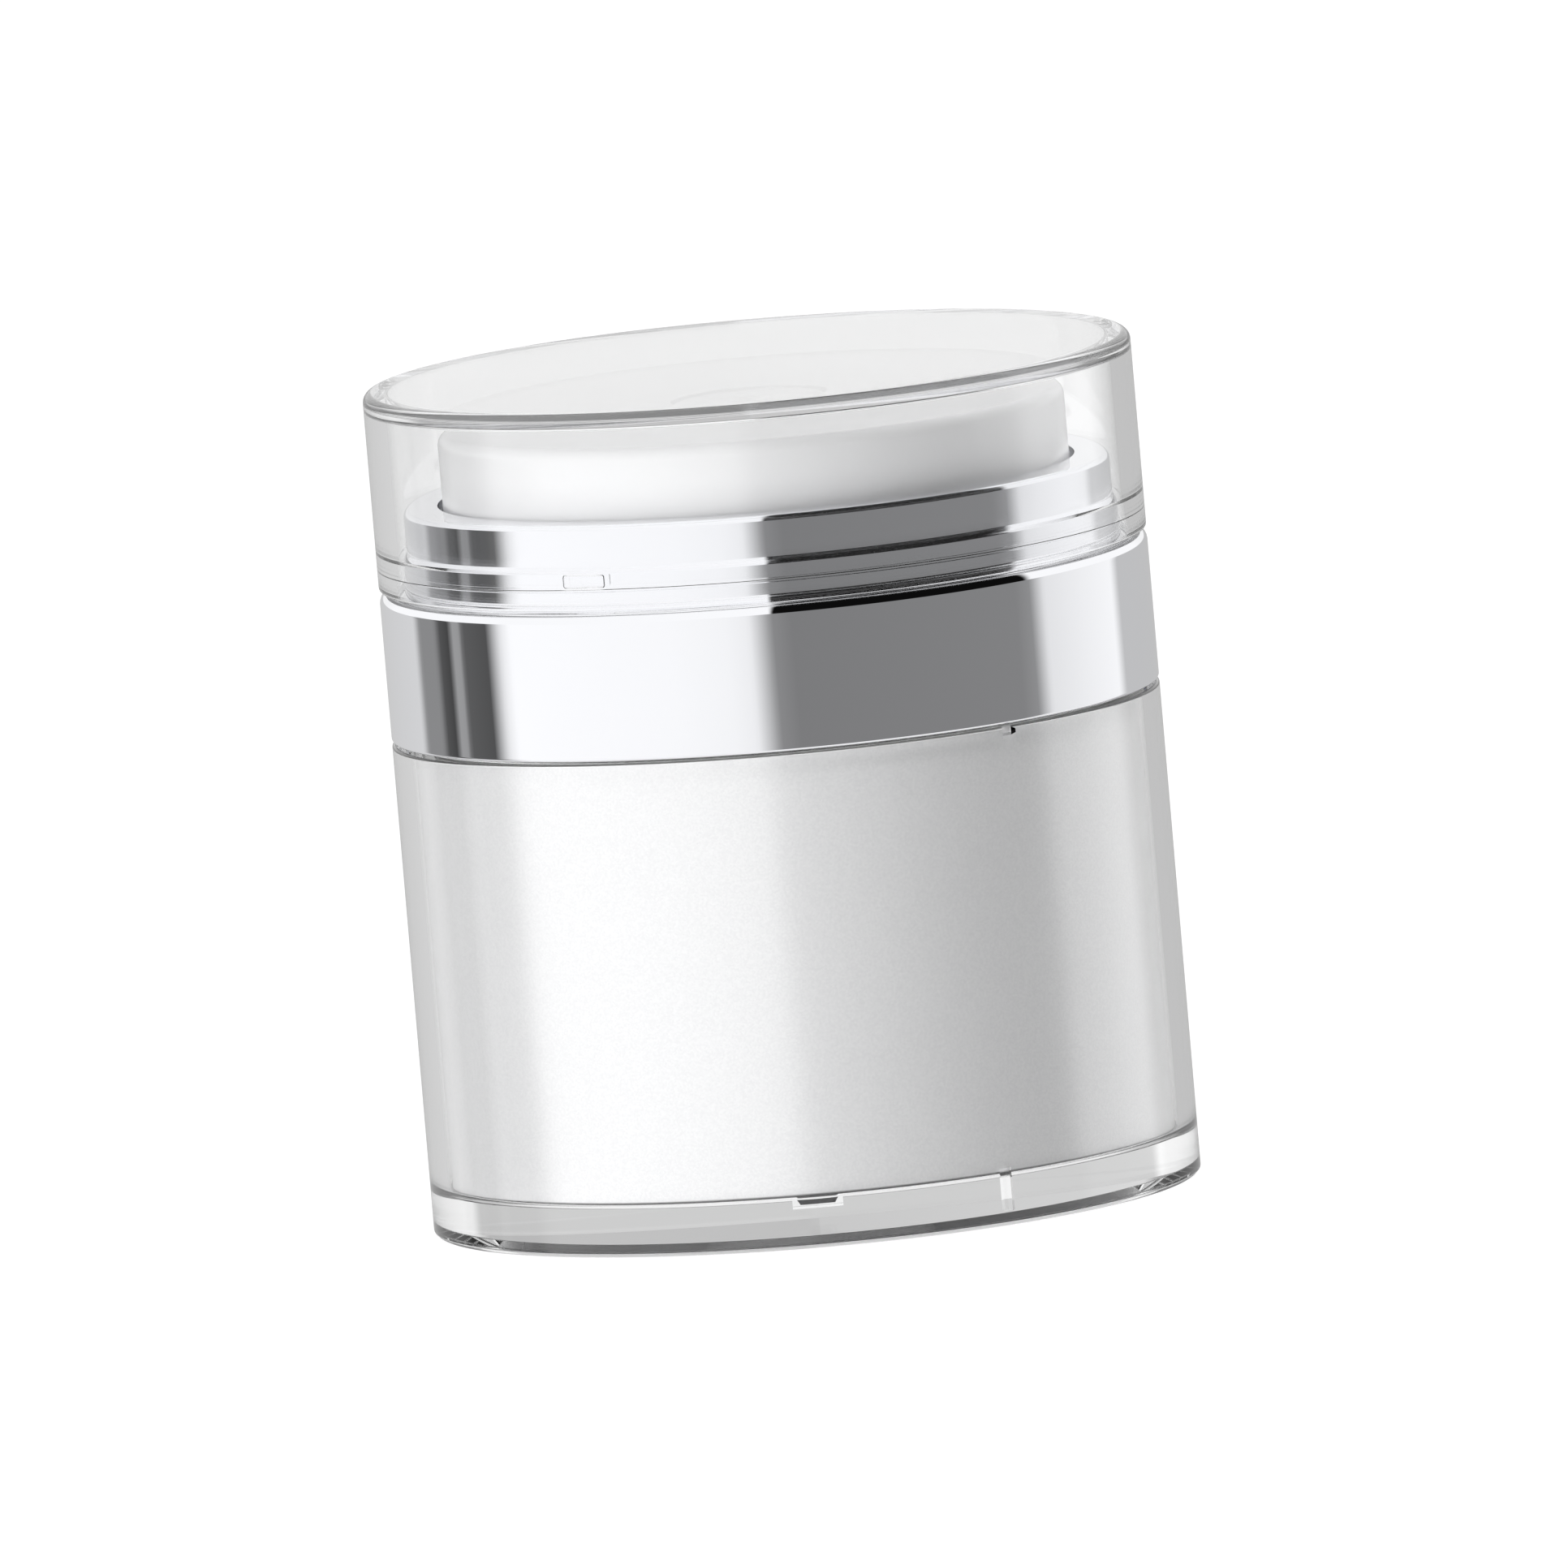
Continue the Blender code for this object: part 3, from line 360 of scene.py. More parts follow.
def makeTurnedTree(name, corners, ring):
    words = dict.fromkeys(word for corner in corners for word in corner if word)  # each one once
    tree, source, result = startTree(name, words, counts=("sides", "round steps"))
    picks = []
    for column in range(3):  # radius, height and round of each corner
        pick = makeNode(tree, "GeometryNodeIndexSwitch", data_type="FLOAT")
        while len(pick.index_switch_items) < len(corners):
            pick.index_switch_items.new()
        join(tree, makeNode(tree, "GeometryNodeInputIndex").outputs[0], pick.inputs[0])
        for row, corner in enumerate(corners):
            if corner[column]:
                join(tree, source.outputs[corner[column]], pick.inputs[row + 1])
            else:
                pick.inputs[row + 1].default_value = 0.0
        picks.append(pick.outputs[0])
    pathRadius = 10.0 * mm  # of the circle that the section is swept along, taken off its radii
    line = makeNode(tree, "GeometryNodeMeshLine", mode="OFFSET")
    line.inputs["Count"].default_value = len(corners)
    section = placePoints(tree, line.outputs[0], mathNode(tree, "SUBTRACT", picks[0], pathRadius),
                          mathNode(tree, "MULTIPLY", picks[1], -1.0))
    curve = makeNode(tree, "GeometryNodeMeshToCurve")
    join(tree, section, curve.inputs["Mesh"])
    cyclic = makeNode(tree, "GeometryNodeSetSplineCyclic")
    cyclic.inputs["Cyclic"].default_value = ring
    join(tree, curve.outputs[0], cyclic.inputs[0])
    fillet = makeNode(tree, "GeometryNodeFilletCurve", mode="POLY")
    join(tree, cyclic.outputs[0], fillet.inputs["Curve"])
    join(tree, picks[2], fillet.inputs["Radius"])
    join(tree, source.outputs["round steps"], fillet.inputs["Count"])
    fillet.inputs["Limit Radius"].default_value = True
    circle = makeNode(tree, "GeometryNodeCurvePrimitiveCircle", mode="RADIUS")
    circle.inputs["Radius"].default_value = pathRadius
    join(tree, source.outputs["sides"], circle.inputs["Resolution"])
    sweep = makeNode(tree, "GeometryNodeCurveToMesh")
    join(tree, circle.outputs[0], sweep.inputs["Curve"])
    join(tree, fillet.outputs[0], sweep.inputs["Profile Curve"])
    endTree(tree, source, sweep.outputs[0], result)
    return tree


def bakeTree(tree, values):
    maker = bpy.data.objects.new(tree.name + "Maker", bpy.data.meshes.new(tree.name))
    bpy.context.scene.collection.objects.link(maker)
    modifier = maker.modifiers.new("nodes", "NODES")
    modifier.node_group = tree
    for item in tree.interface.items_tree:
        if item.in_out == "INPUT" and item.name in values:
            modifier[item.identifier] = values[item.name]
    graph = bpy.context.evaluated_depsgraph_get()
    mesh = bpy.data.meshes.new_from_object(maker.evaluated_get(graph))
    bpy.data.objects.remove(maker)
    tidyMesh(mesh)
    return mesh


def tidyMesh(mesh):
    shape = bmesh.new()
    shape.from_mesh(mesh)
    bmesh.ops.remove_doubles(shape, verts=shape.verts, dist=weld)
    bmesh.ops.dissolve_degenerate(shape, edges=shape.edges, dist=sliver)
    bmesh.ops.recalc_face_normals(shape, faces=shape.faces)
    for face in shape.faces:
        face.smooth = True
    shape.to_mesh(mesh)
    shape.free()


def roundEdges(mesh, radius, steps):
    shape = bmesh.new()
    shape.from_mesh(mesh)
    bmesh.ops.bevel(shape, geom=shape.edges[:], offset=radius, segments=steps, profile=0.5, affect="EDGES")
    shape.to_mesh(mesh)
    shape.free()


# A corner is a radius and a height by name, with its round where that isn't the plain edge. A corner
# without a radius is on the axis.
def turnedMesh(name, finish, values, corners, ring=True, sides=96, steps=4, edge=0.12 * mm):
    full = []
    for corner in corners:
        radius, height = corner[0], corner[1]
        roundName = corner[2] if len(corner) > 2 else "edge"
        if radius is None:
            roundName = None
        full.append((radius, height, roundName))
    tree = makeTurnedTree(name + "Turned", full, ring)
    allValues = dict(values)
    allValues.update({"edge": edge, "sides": sides, "round steps": steps, "finish": finish})
    missing = [word for corner in full for word in corner if word and word not in allValues]
    if missing:
        raise ValueError(name + " lacks " + ", ".join(missing))
    return bakeTree(tree, allValues)


def combine(mesh, tools, operation):
    base = bpy.data.objects.new("combineBase", mesh)
    bpy.context.scene.collection.objects.link(base)
    helpers = []
    for tool in tools:
        helper = bpy.data.objects.new("combineTool", tool)
        bpy.context.scene.collection.objects.link(helper)
        helpers.append(helper)
        modifier = base.modifiers.new("combine", "BOOLEAN")
        modifier.operation = operation
        modifier.solver = "EXACT"
        modifier.object = helper
    graph = bpy.context.evaluated_depsgraph_get()
    made = bpy.data.meshes.new_from_object(base.evaluated_get(graph))
    for helper in [base] + helpers:
        bpy.data.objects.remove(helper)
    tidyMesh(made)
    return made


def addPiece(name, mesh, body, node, sharp=None):
    maker = bpy.data.objects.new(name + "Maker", mesh)
    bpy.context.scene.collection.objects.link(maker)
    weighted = maker.modifiers.new("normals", "WEIGHTED_NORMAL")
    weighted.weight = 100
    weighted.keep_sharp = sharp is not None
    if sharp is not None:
        mesh.set_sharp_from_angle(angle=math.radians(sharp))
    graph = bpy.context.evaluated_depsgraph_get()
    final = bpy.data.meshes.new_from_object(maker.evaluated_get(graph))
    bpy.data.objects.remove(maker)
    final.name = name
    piece = bpy.data.objects.new(name, final)
    bpy.context.scene.collection.objects.link(piece)
    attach(piece, body)
    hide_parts(node)
    return piece


def finishOf(node):
    return finishes[slotFinishes[nodeSlots[node]]]


def blockMesh(width, near, far, low, high, side=0.0, foot=None):  # a block at the front, side to the right
    foot = width if foot is None else foot
    mesh = bpy.data.meshes.new("block")
    shape = bmesh.new()
    rings = []
    for height, across in ((low, foot), (high, width)):
        ring = []
        for x, y in ((-across / 2, -far), (across / 2, -far), (across / 2, -near), (-across / 2, -near)):
            ring.append(shape.verts.new((x + side, y, height)))
        rings.append(ring)
    shape.faces.new(rings[0][::-1])
    shape.faces.new(rings[1])
    for step in range(4):
        after = (step + 1) % 4
        shape.faces.new((rings[0][step], rings[0][after], rings[1][after], rings[1][step]))
    bmesh.ops.recalc_face_normals(shape, faces=shape.faces)
    shape.to_mesh(mesh)
    shape.free()
    return mesh


# Geometry Nodes: a screw thread's ridge, tapered to a point at both ends

def makeThreadTree():
    tree, source, result = startTree(
        "threadRidge",
        ("root radius", "crest radius", "root width", "crest width", "start height", "pitch"),
        ("turns", "facing", "taper"), ("steps",))
    ridgePoints = 5  # points across the ridge: root, crest, crest, root, then the first again
    grid = makeNode(tree, "GeometryNodeMeshGrid")
    grid.inputs["Vertices Y"].default_value = ridgePoints
    join(tree, source.outputs["steps"], grid.inputs["Vertices X"])
    index = makeNode(tree, "GeometryNodeInputIndex").outputs[0]
    along = mathNode(tree, "FLOOR", mathNode(tree, "DIVIDE", index, ridgePoints))
    across = mathNode(tree, "MODULO", index, ridgePoints)
    share = mathNode(tree, "DIVIDE", along, mathNode(tree, "SUBTRACT", source.outputs["steps"], 1.0))
    nearEnd = mathNode(tree, "MINIMUM", share, mathNode(tree, "SUBTRACT", 1.0, share))
    size = mathNode(tree, "MINIMUM", mathNode(tree, "DIVIDE", nearEnd, source.outputs["taper"]), 1.0)
    onCrest = between(tree, across, 0.5, 2.5)
    reach = mathNode(tree, "SUBTRACT", source.outputs["crest radius"], source.outputs["root radius"])
    radius = mathNode(tree, "ADD", source.outputs["root radius"],
                      mathNode(tree, "MULTIPLY", mathNode(tree, "MULTIPLY", reach, onCrest), size))
    side = mathNode(tree, "SUBTRACT", between(tree, across, 1.5, 3.5), 0.5)
    crestPart = mathNode(tree, "MULTIPLY", source.outputs["crest width"], onCrest)
    offCrest = mathNode(tree, "SUBTRACT", 1.0, onCrest)
    rootPart = mathNode(tree, "MULTIPLY", source.outputs["root width"], offCrest)
    width = mathNode(tree, "MULTIPLY", mathNode(tree, "ADD", crestPart, rootPart), size)
    turned = mathNode(tree, "MULTIPLY", share, source.outputs["turns"])
    height = mathNode(tree, "ADD", source.outputs["start height"],
                      mathNode(tree, "ADD", mathNode(tree, "MULTIPLY", turned, source.outputs["pitch"]),
                               mathNode(tree, "MULTIPLY", side, width)))
    turning = mathNode(tree, "MULTIPLY", turned, 2.0 * math.pi)
    angle = mathNode(tree, "ADD", turning, source.outputs["facing"])
    endTree(tree, source, placeRound(tree, grid.outputs[0], radius, angle, height), result)
    return tree


# Geometry Nodes: a compression spring with closed end turns

def makeSpringTree():
    tree, source, result = startTree(
        "coilSpring", ("coil radius", "wire radius", "foot height", "closed pitch", "open rise"),
        ("open turns",), ("steps per turn", "wire sides"))
    openTurns, coilRadius = source.outputs["open turns"], source.outputs["coil radius"]
    turns = mathNode(tree, "ADD", openTurns, 2.0)
    line = makeNode(tree, "GeometryNodeMeshLine", mode="OFFSET")
    count = mathNode(tree, "ADD", mathNode(tree, "MULTIPLY", turns, source.outputs["steps per turn"]), 1.0)
    join(tree, count, line.inputs["Count"])
    index = makeNode(tree, "GeometryNodeInputIndex").outputs[0]
    turn = mathNode(tree, "DIVIDE", index, source.outputs["steps per turn"])
    angle = mathNode(tree, "MULTIPLY", turn, 2.0 * math.pi)
    first = mathNode(tree, "MINIMUM", turn, 1.0)
    pastFirst = mathNode(tree, "MAXIMUM", mathNode(tree, "SUBTRACT", turn, 1.0), 0.0)
    middle = mathNode(tree, "MINIMUM", pastFirst, openTurns)
    lastStart = mathNode(tree, "ADD", openTurns, 1.0)
    last = mathNode(tree, "MAXIMUM", mathNode(tree, "SUBTRACT", turn, lastStart), 0.0)
    closed = mathNode(tree, "MULTIPLY", mathNode(tree, "ADD", first, last), source.outputs["closed pitch"])
    openPitch = mathNode(tree, "DIVIDE", source.outputs["open rise"], openTurns)
    opened = mathNode(tree, "MULTIPLY", middle, openPitch)
    height = mathNode(tree, "ADD", source.outputs["foot height"], mathNode(tree, "ADD", closed, opened))
    coil = placePoints(tree, line.outputs[0],
                       mathNode(tree, "MULTIPLY", coilRadius, mathNode(tree, "COSINE", angle)),
                       mathNode(tree, "MULTIPLY", coilRadius, mathNode(tree, "SINE", angle)), height)
    curve = makeNode(tree, "GeometryNodeMeshToCurve")
    join(tree, coil, curve.inputs["Mesh"])
    circle = makeNode(tree, "GeometryNodeCurvePrimitiveCircle", mode="RADIUS")
    join(tree, source.outputs["wire radius"], circle.inputs["Radius"])
    join(tree, source.outputs["wire sides"], circle.inputs["Resolution"])
    sweep = makeNode(tree, "GeometryNodeCurveToMesh")
    sweep.inputs["Fill Caps"].default_value = True
    join(tree, curve.outputs[0], sweep.inputs["Curve"])
    join(tree, circle.outputs[0], sweep.inputs["Profile Curve"])
    endTree(tree, source, sweep.outputs[0], result)
    return tree


# Geometry Nodes: lugs or bores repeated round the axis

def makeRoundTree(name, kind):
    tree, source, result = startTree(
        name, ("circle radius", "middle height", "width", "reach", "height"), ("facing",), ("count",))
    line = makeNode(tree, "GeometryNodeMeshLine", mode="OFFSET")
    join(tree, source.outputs["count"], line.inputs["Count"])
    index = makeNode(tree, "GeometryNodeInputIndex").outputs[0]
    share = mathNode(tree, "DIVIDE", index, source.outputs["count"])
    turning = mathNode(tree, "MULTIPLY", share, 2.0 * math.pi)
    angle = mathNode(tree, "ADD", turning, source.outputs["facing"])
    points = placeRound(tree, line.outputs[0], source.outputs["circle radius"], angle,
                        source.outputs["middle height"])
    if kind == "lug":
        item = makeNode(tree, "GeometryNodeMeshCube")
        size = makeNode(tree, "ShaderNodeCombineXYZ")
        join(tree, source.outputs["width"], size.inputs["X"])
        join(tree, source.outputs["reach"], size.inputs["Y"])
        join(tree, source.outputs["height"], size.inputs["Z"])
        join(tree, size.outputs[0], item.inputs["Size"])
    else:
        item = makeNode(tree, "GeometryNodeMeshCylinder")
        item.inputs["Vertices"].default_value = 32
        join(tree, mathNode(tree, "MULTIPLY", source.outputs["width"], 0.5), item.inputs["Radius"])
        join(tree, source.outputs["height"], item.inputs["Depth"])
    spin = makeNode(tree, "ShaderNodeCombineXYZ")
    join(tree, angle, spin.inputs["Z"])
    spread = makeNode(tree, "GeometryNodeInstanceOnPoints")
    join(tree, points, spread.inputs["Points"])
    join(tree, item.outputs[0], spread.inputs["Instance"])
    join(tree, spin.outputs[0], spread.inputs["Rotation"])
    endTree(tree, source, spread.outputs[0], result)
    return tree


threadTree = makeThreadTree()
springTree = makeSpringTree()
lugTree = makeRoundTree("lugRing", "lug")
boreTree = makeRoundTree("boreRing", "bore")
print("geometry trees ready")


# Outer jar: clear wall and thick foot

jarSizes = {
    "wall": 1.5 * mm, "floor": 3.15 * mm, "footRecess": 0.6 * mm, "footRim": 4.9 * mm,
    "recessSlope": 0.6 * mm, "bevel": 0.3 * mm, "bevelHeight": 0.3 * mm, "sides": 192, "roundSteps": 6,
    "rimRound": 0.25 * mm, "boreRound": 0.6 * mm, "bevelRound": 0.2 * mm, "standRound": 0.2 * mm,
    "keyWidth": 4.0 * mm, "keyNear": 27.0 * mm, "keyFar": 29.2 * mm, "keyDepth": 0.65 * mm,
    "keyOver": 0.3 * mm, "ventWidth": 0.7 * mm, "ventDepth": 0.6 * mm, "ventOver": 1.0 * mm,
    "ventSide": 18.3 * mm, "ventNear": 22.9 * mm, "ventFar": 25.6 * mm,
    "grooveWidth": 0.9 * mm, "grooveLow": 1.1 * mm, "grooveHigh": 4.6 * mm,
    "grooveSide": 14.9 * mm, "grooveNear": 24.8 * mm, "grooveFar": 25.8 * mm,
}
low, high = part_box("outer_jar")
floorTop = low.z + jarSizes["footRecess"] + jarSizes["floor"]
standOuter = high.x - jarSizes["bevel"]
standInner = high.x - jarSizes["footRim"]
jarMesh = turnedMesh(
    "outerJar", finishOf("outer_jar"),
    {
        "outer radius": high.x, "bore radius": high.x - jarSizes["wall"], "rim height": high.z,
        "floor height": floorTop, "recess height": low.z + jarSizes["footRecess"],
        "recess radius": standInner - jarSizes["recessSlope"], "stand inner radius": standInner,
        "stand outer radius": standOuter, "stand height": low.z,
        "bevel height": low.z + jarSizes["bevelHeight"], "rim round": jarSizes["rimRound"],
        "bore round": jarSizes["boreRound"], "bevel round": jarSizes["bevelRound"],
        "stand round": jarSizes["standRound"],
    },
    [
        (None, "recess height"), ("recess radius", "recess height", "stand round"),
        ("stand inner radius", "stand height", "stand round"),
        ("stand outer radius", "stand height", "stand round"),
        ("outer radius", "bevel height", "bevel round"), ("outer radius", "rim height", "rim round"),
        ("bore radius", "rim height", "rim round"), ("bore radius", "floor height", "bore round"),
        (None, "floor height"),
    ],
    ring=False, sides=jarSizes["sides"], steps=jarSizes["roundSteps"])
jarCuts = [
    blockMesh(jarSizes["keyWidth"], jarSizes["keyNear"], jarSizes["keyFar"],
              floorTop - jarSizes["keyDepth"], floorTop + jarSizes["keyOver"]),
    blockMesh(jarSizes["ventWidth"], jarSizes["ventNear"], jarSizes["ventFar"],
              high.z - jarSizes["ventDepth"], high.z + jarSizes["ventOver"], jarSizes["ventSide"]),
    blockMesh(jarSizes["grooveWidth"], jarSizes["grooveNear"], jarSizes["grooveFar"],
              jarSizes["grooveLow"], jarSizes["grooveHigh"], jarSizes["grooveSide"]),
]
jarMesh = combine(jarMesh, jarCuts, "DIFFERENCE")
addPiece("outerJar", jarMesh, "jar", "outer_jar", sharp=crease)

# Pearl liner, with the key that sits in the jar's floor

linerSizes = {
    "wall": 1.3 * mm, "floor": 1.0 * mm, "hole": 8.0 * mm, "outerRound": 0.6 * mm,
    "innerRound": 0.5 * mm, "rimRound": 0.2 * mm, "sides": 160, "keyTop": 3.7 * mm,
    "keyFoot": 2.7 * mm, "keyNear": 27.3 * mm, "keyFar": 28.9 * mm, "keySink": 0.4 * mm, "lift": 0.06 * mm,
}
low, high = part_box("liner_sleeve")
linerBottom = floorTop + linerSizes["lift"]
linerMesh = turnedMesh(
    "linerSleeve", finishOf("liner_sleeve"),
    {
        "hole radius": linerSizes["hole"], "outer radius": high.x,
        "bore radius": high.x - linerSizes["wall"],
        "under height": linerBottom, "floor height": linerBottom + linerSizes["floor"],
        "rim height": high.z, "outer round": linerSizes["outerRound"],
        "inner round": linerSizes["innerRound"], "rim round": linerSizes["rimRound"],
    },
    [
        ("hole radius", "under height"), ("outer radius", "under height", "outer round"),
        ("outer radius", "rim height", "rim round"), ("bore radius", "rim height", "rim round"),
        ("bore radius", "floor height", "inner round"), ("hole radius", "floor height"),
    ],
    sides=linerSizes["sides"])
linerKey = blockMesh(linerSizes["keyTop"], linerSizes["keyNear"], linerSizes["keyFar"], low.z,
                     linerBottom + linerSizes["keySink"], foot=linerSizes["keyFoot"])
linerMesh = combine(linerMesh, [linerKey], "UNION")
addPiece("linerSleeve", linerMesh, "jar", "liner_sleeve", sharp=crease)

# Inner cup with its screw neck

cupSizes = {
    "outer": 26.7 * mm, "wall": 1.2 * mm, "floor": 1.2 * mm, "vent": 1.5 * mm, "shoulder": 0.9 * mm,
    "shoulderHeight": 1.5 * mm, "neckHeight": 6.0 * mm, "floorRound": 0.7 * mm, "sides": 128, "roundSteps": 3,
    "threadCrest": 27.6 * mm, "threadRootWidth": 1.2 * mm, "threadCrestWidth": 0.5 * mm,
    "threadStart": 42.675 * mm, "threadSink": 0.3 * mm, "threadSteps": 121, "pitch": 2.5 * mm,
    "turns": 0.95, "facing": 4.0, "taper": 0.06,
}
low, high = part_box("inner_cup")
shoulderTop = high.z - cupSizes["neckHeight"]
cupOuter = cupSizes["outer"]
cupMesh = turnedMesh(
    "innerCup", finishOf("inner_cup"),
    {
        "vent radius": cupSizes["vent"], "outer radius": cupOuter,
        "bore radius": cupOuter - cupSizes["wall"],
        "shoulder radius": cupOuter + cupSizes["shoulder"], "under height": low.z,
        "floor height": low.z + cupSizes["floor"],
        "shoulder bottom": shoulderTop - cupSizes["shoulderHeight"],
        "shoulder top": shoulderTop, "rim height": high.z, "floor round": cupSizes["floorRound"],
    },
    [
        ("vent radius", "under height"), ("outer radius", "under height", "floor round"),
        ("outer radius", "shoulder bottom"), ("shoulder radius", "shoulder bottom"),
        ("shoulder radius", "shoulder top"), ("outer radius", "shoulder top"),
        ("outer radius", "rim height"), ("bore radius", "rim height"),
        ("bore radius", "floor height", "floor round"), ("vent radius", "floor height"),
    ],
    sides=cupSizes["sides"], steps=cupSizes["roundSteps"])
cupThread = bakeTree(threadTree, {
    "root radius": cupOuter - cupSizes["threadSink"], "crest radius": cupSizes["threadCrest"],
    "root width": cupSizes["threadRootWidth"], "crest width": cupSizes["threadCrestWidth"],
    "start height": cupSizes["threadStart"], "pitch": cupSizes["pitch"], "turns": cupSizes["turns"],
    "facing": math.radians(cupSizes["facing"]), "taper": cupSizes["taper"],
    "steps": cupSizes["threadSteps"],
    "finish": finishOf("inner_cup"),
})
cupMesh = combine(cupMesh, [cupThread], "UNION")
addPiece("innerCup", cupMesh, "jar", "inner_cup", sharp=crease)

# Follower that rises as the cream is used

followerSizes = {
    "hub": 12.7 * mm, "hubDrop": 4.0 * mm, "hubUnderDrop": 5.2 * mm, "skin": 1.2 * mm,
    "underHub": 13.9 * mm, "lipStep": 1.0 * mm, "waistStep": 2.0 * mm, "lipRadius": 25.2 * mm,
    "waist": 24.4 * mm, "bore": 23.2 * mm, "round": 0.35 * mm, "sides": 128, "roundSteps": 3,
}
low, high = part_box("follower_piston")
followerMesh = turnedMesh(
    "followerPiston", finishOf("follower_piston"),
    {
        "hub radius": followerSizes["hub"], "under hub radius": followerSizes["underHub"],
        "lip radius": followerSizes["lipRadius"], "waist radius": followerSizes["waist"],
        "skirt radius": followerSizes["bore"], "hub height": high.z - followerSizes["hubDrop"],
        "hub under": high.z - followerSizes["hubUnderDrop"], "top height": high.z,
        "top under": high.z - followerSizes["skin"], "upper lip": high.z - followerSizes["lipStep"],
        "waist top": high.z - followerSizes["waistStep"], "waist low": low.z + followerSizes["waistStep"],
        "lower lip": low.z + followerSizes["lipStep"], "foot height": low.z,
        "round": followerSizes["round"],
    },
    [
        (None, "hub height"), ("hub radius", "hub height", "round"), ("hub radius", "top height", "round"),
        ("lip radius", "top height"), ("lip radius", "upper lip"), ("waist radius", "waist top", "round"),
        ("waist radius", "waist low", "round"), ("lip radius", "lower lip"), ("lip radius", "foot height"),
        ("skirt radius", "foot height"), ("skirt radius", "top under", "round"),
        ("under hub radius", "top under", "round"), ("under hub radius", "hub under", "round"),
        (None, "hub under"),
    ],
    ring=False, sides=followerSizes["sides"], steps=followerSizes["roundSteps"])
addPiece("followerPiston", followerMesh, "follower", "follower_piston")

# Gasket between the cup's rim and the carrier

gasketSizes = {"inner": 25.8 * mm, "edge": 0.25 * mm, "sides": 128}
low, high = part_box("cup_gasket")
gasketMesh = turnedMesh(
    "cupGasket", finishOf("cup_gasket"),
    {
        "inner radius": gasketSizes["inner"], "outer radius": high.x,
        "low height": low.z, "high height": high.z,
    },
    [
        ("inner radius", "low height"), ("outer radius", "low height"),
        ("outer radius", "high height"), ("inner radius", "high height"),
    ],
    sides=gasketSizes["sides"], edge=gasketSizes["edge"])
addPiece("cupGasket", gasketMesh, "gasket", "cup_gasket")

# Pump carrier: closes the cup and holds the pump in its well

carrierSizes = {
    "seat": 5.0 * mm, "valveBore": 5.6 * mm, "ledge": 7.4 * mm, "wellBore": 11.2 * mm, "wellOuter": 12.4 * mm,
    "troughOuter": 25.2 * mm, "troughBore": 24.0 * mm, "flange": 26.9 * mm, "troughUnder": 4.0 * mm,
    "flangeUnder": 13.1 * mm, "troughFloor": 5.4 * mm, "wellFloor": 1.8 * mm, "grooveFloor": 0.8 * mm,
    "round": 0.4 * mm, "sides": 128, "roundSteps": 3,
}
low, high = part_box("pump_carrier")
carrierMesh = turnedMesh(
    "pumpCarrier", finishOf("pump_carrier"),
    {
        "seat radius": carrierSizes["seat"], "groove inner radius": carrierSizes["valveBore"],
        "groove outer radius": carrierSizes["ledge"], "well radius": carrierSizes["wellBore"],
        "well outer radius": carrierSizes["wellOuter"], "trough outer radius": carrierSizes["troughOuter"],
        "trough radius": carrierSizes["troughBore"], "flange radius": carrierSizes["flange"],
        "under height": low.z, "trough under": low.z + carrierSizes["troughUnder"],
        "flange under": low.z + carrierSizes["flangeUnder"], "flange top": high.z,
        "trough floor": low.z + carrierSizes["troughFloor"],
        "well floor": low.z + carrierSizes["wellFloor"],
        "groove floor": low.z + carrierSizes["grooveFloor"], "round": carrierSizes["round"],
    },
    [
        ("seat radius", "under height"), ("well outer radius", "under height", "round"),
        ("well outer radius", "trough under", "round"), ("trough outer radius", "trough under", "round"),
        ("trough outer radius", "flange under"), ("flange radius", "flange under"),
        ("flange radius", "flange top"), ("trough radius", "flange top"),
        ("trough radius", "trough floor", "round"), ("well radius", "trough floor", "round"),
        ("well radius", "well floor", "round"), ("groove outer radius", "well floor"),
        ("groove outer radius", "groove floor"), ("groove inner radius", "groove floor"),
        ("groove inner radius", "well floor"), ("seat radius", "well floor"),
    ],
    sides=carrierSizes["sides"], steps=carrierSizes["roundSteps"])
addPiece("pumpCarrier", carrierMesh, "head", "pump_carrier")

# Ring seal under the cylinder, a full torus

sealSizes = {"ring": 6.5 * mm, "section": 0.35 * mm, "roundShare": 0.999, "sides": 64, "roundSteps": 6}
low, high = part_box("cylinder_seal")
sealMiddle = (low.z + high.z) / 2
sealMesh = turnedMesh(
    "cylinderSeal", finishOf("cylinder_seal"),
    {
        "inner radius": sealSizes["ring"] - sealSizes["section"],
        "outer radius": sealSizes["ring"] + sealSizes["section"],
        "low height": sealMiddle - sealSizes["section"], "high height": sealMiddle + sealSizes["section"],
        "section round": sealSizes["section"] * sealSizes["roundShare"],
    },
    [
        ("inner radius", "low height", "section round"), ("outer radius", "low height", "section round"),
        ("outer radius", "high height", "section round"), ("inner radius", "high height", "section round"),
    ],
    sides=sealSizes["sides"], steps=sealSizes["roundSteps"])
addPiece("cylinderSeal", sealMesh, "head", "cylinder_seal")

# Pump cylinder

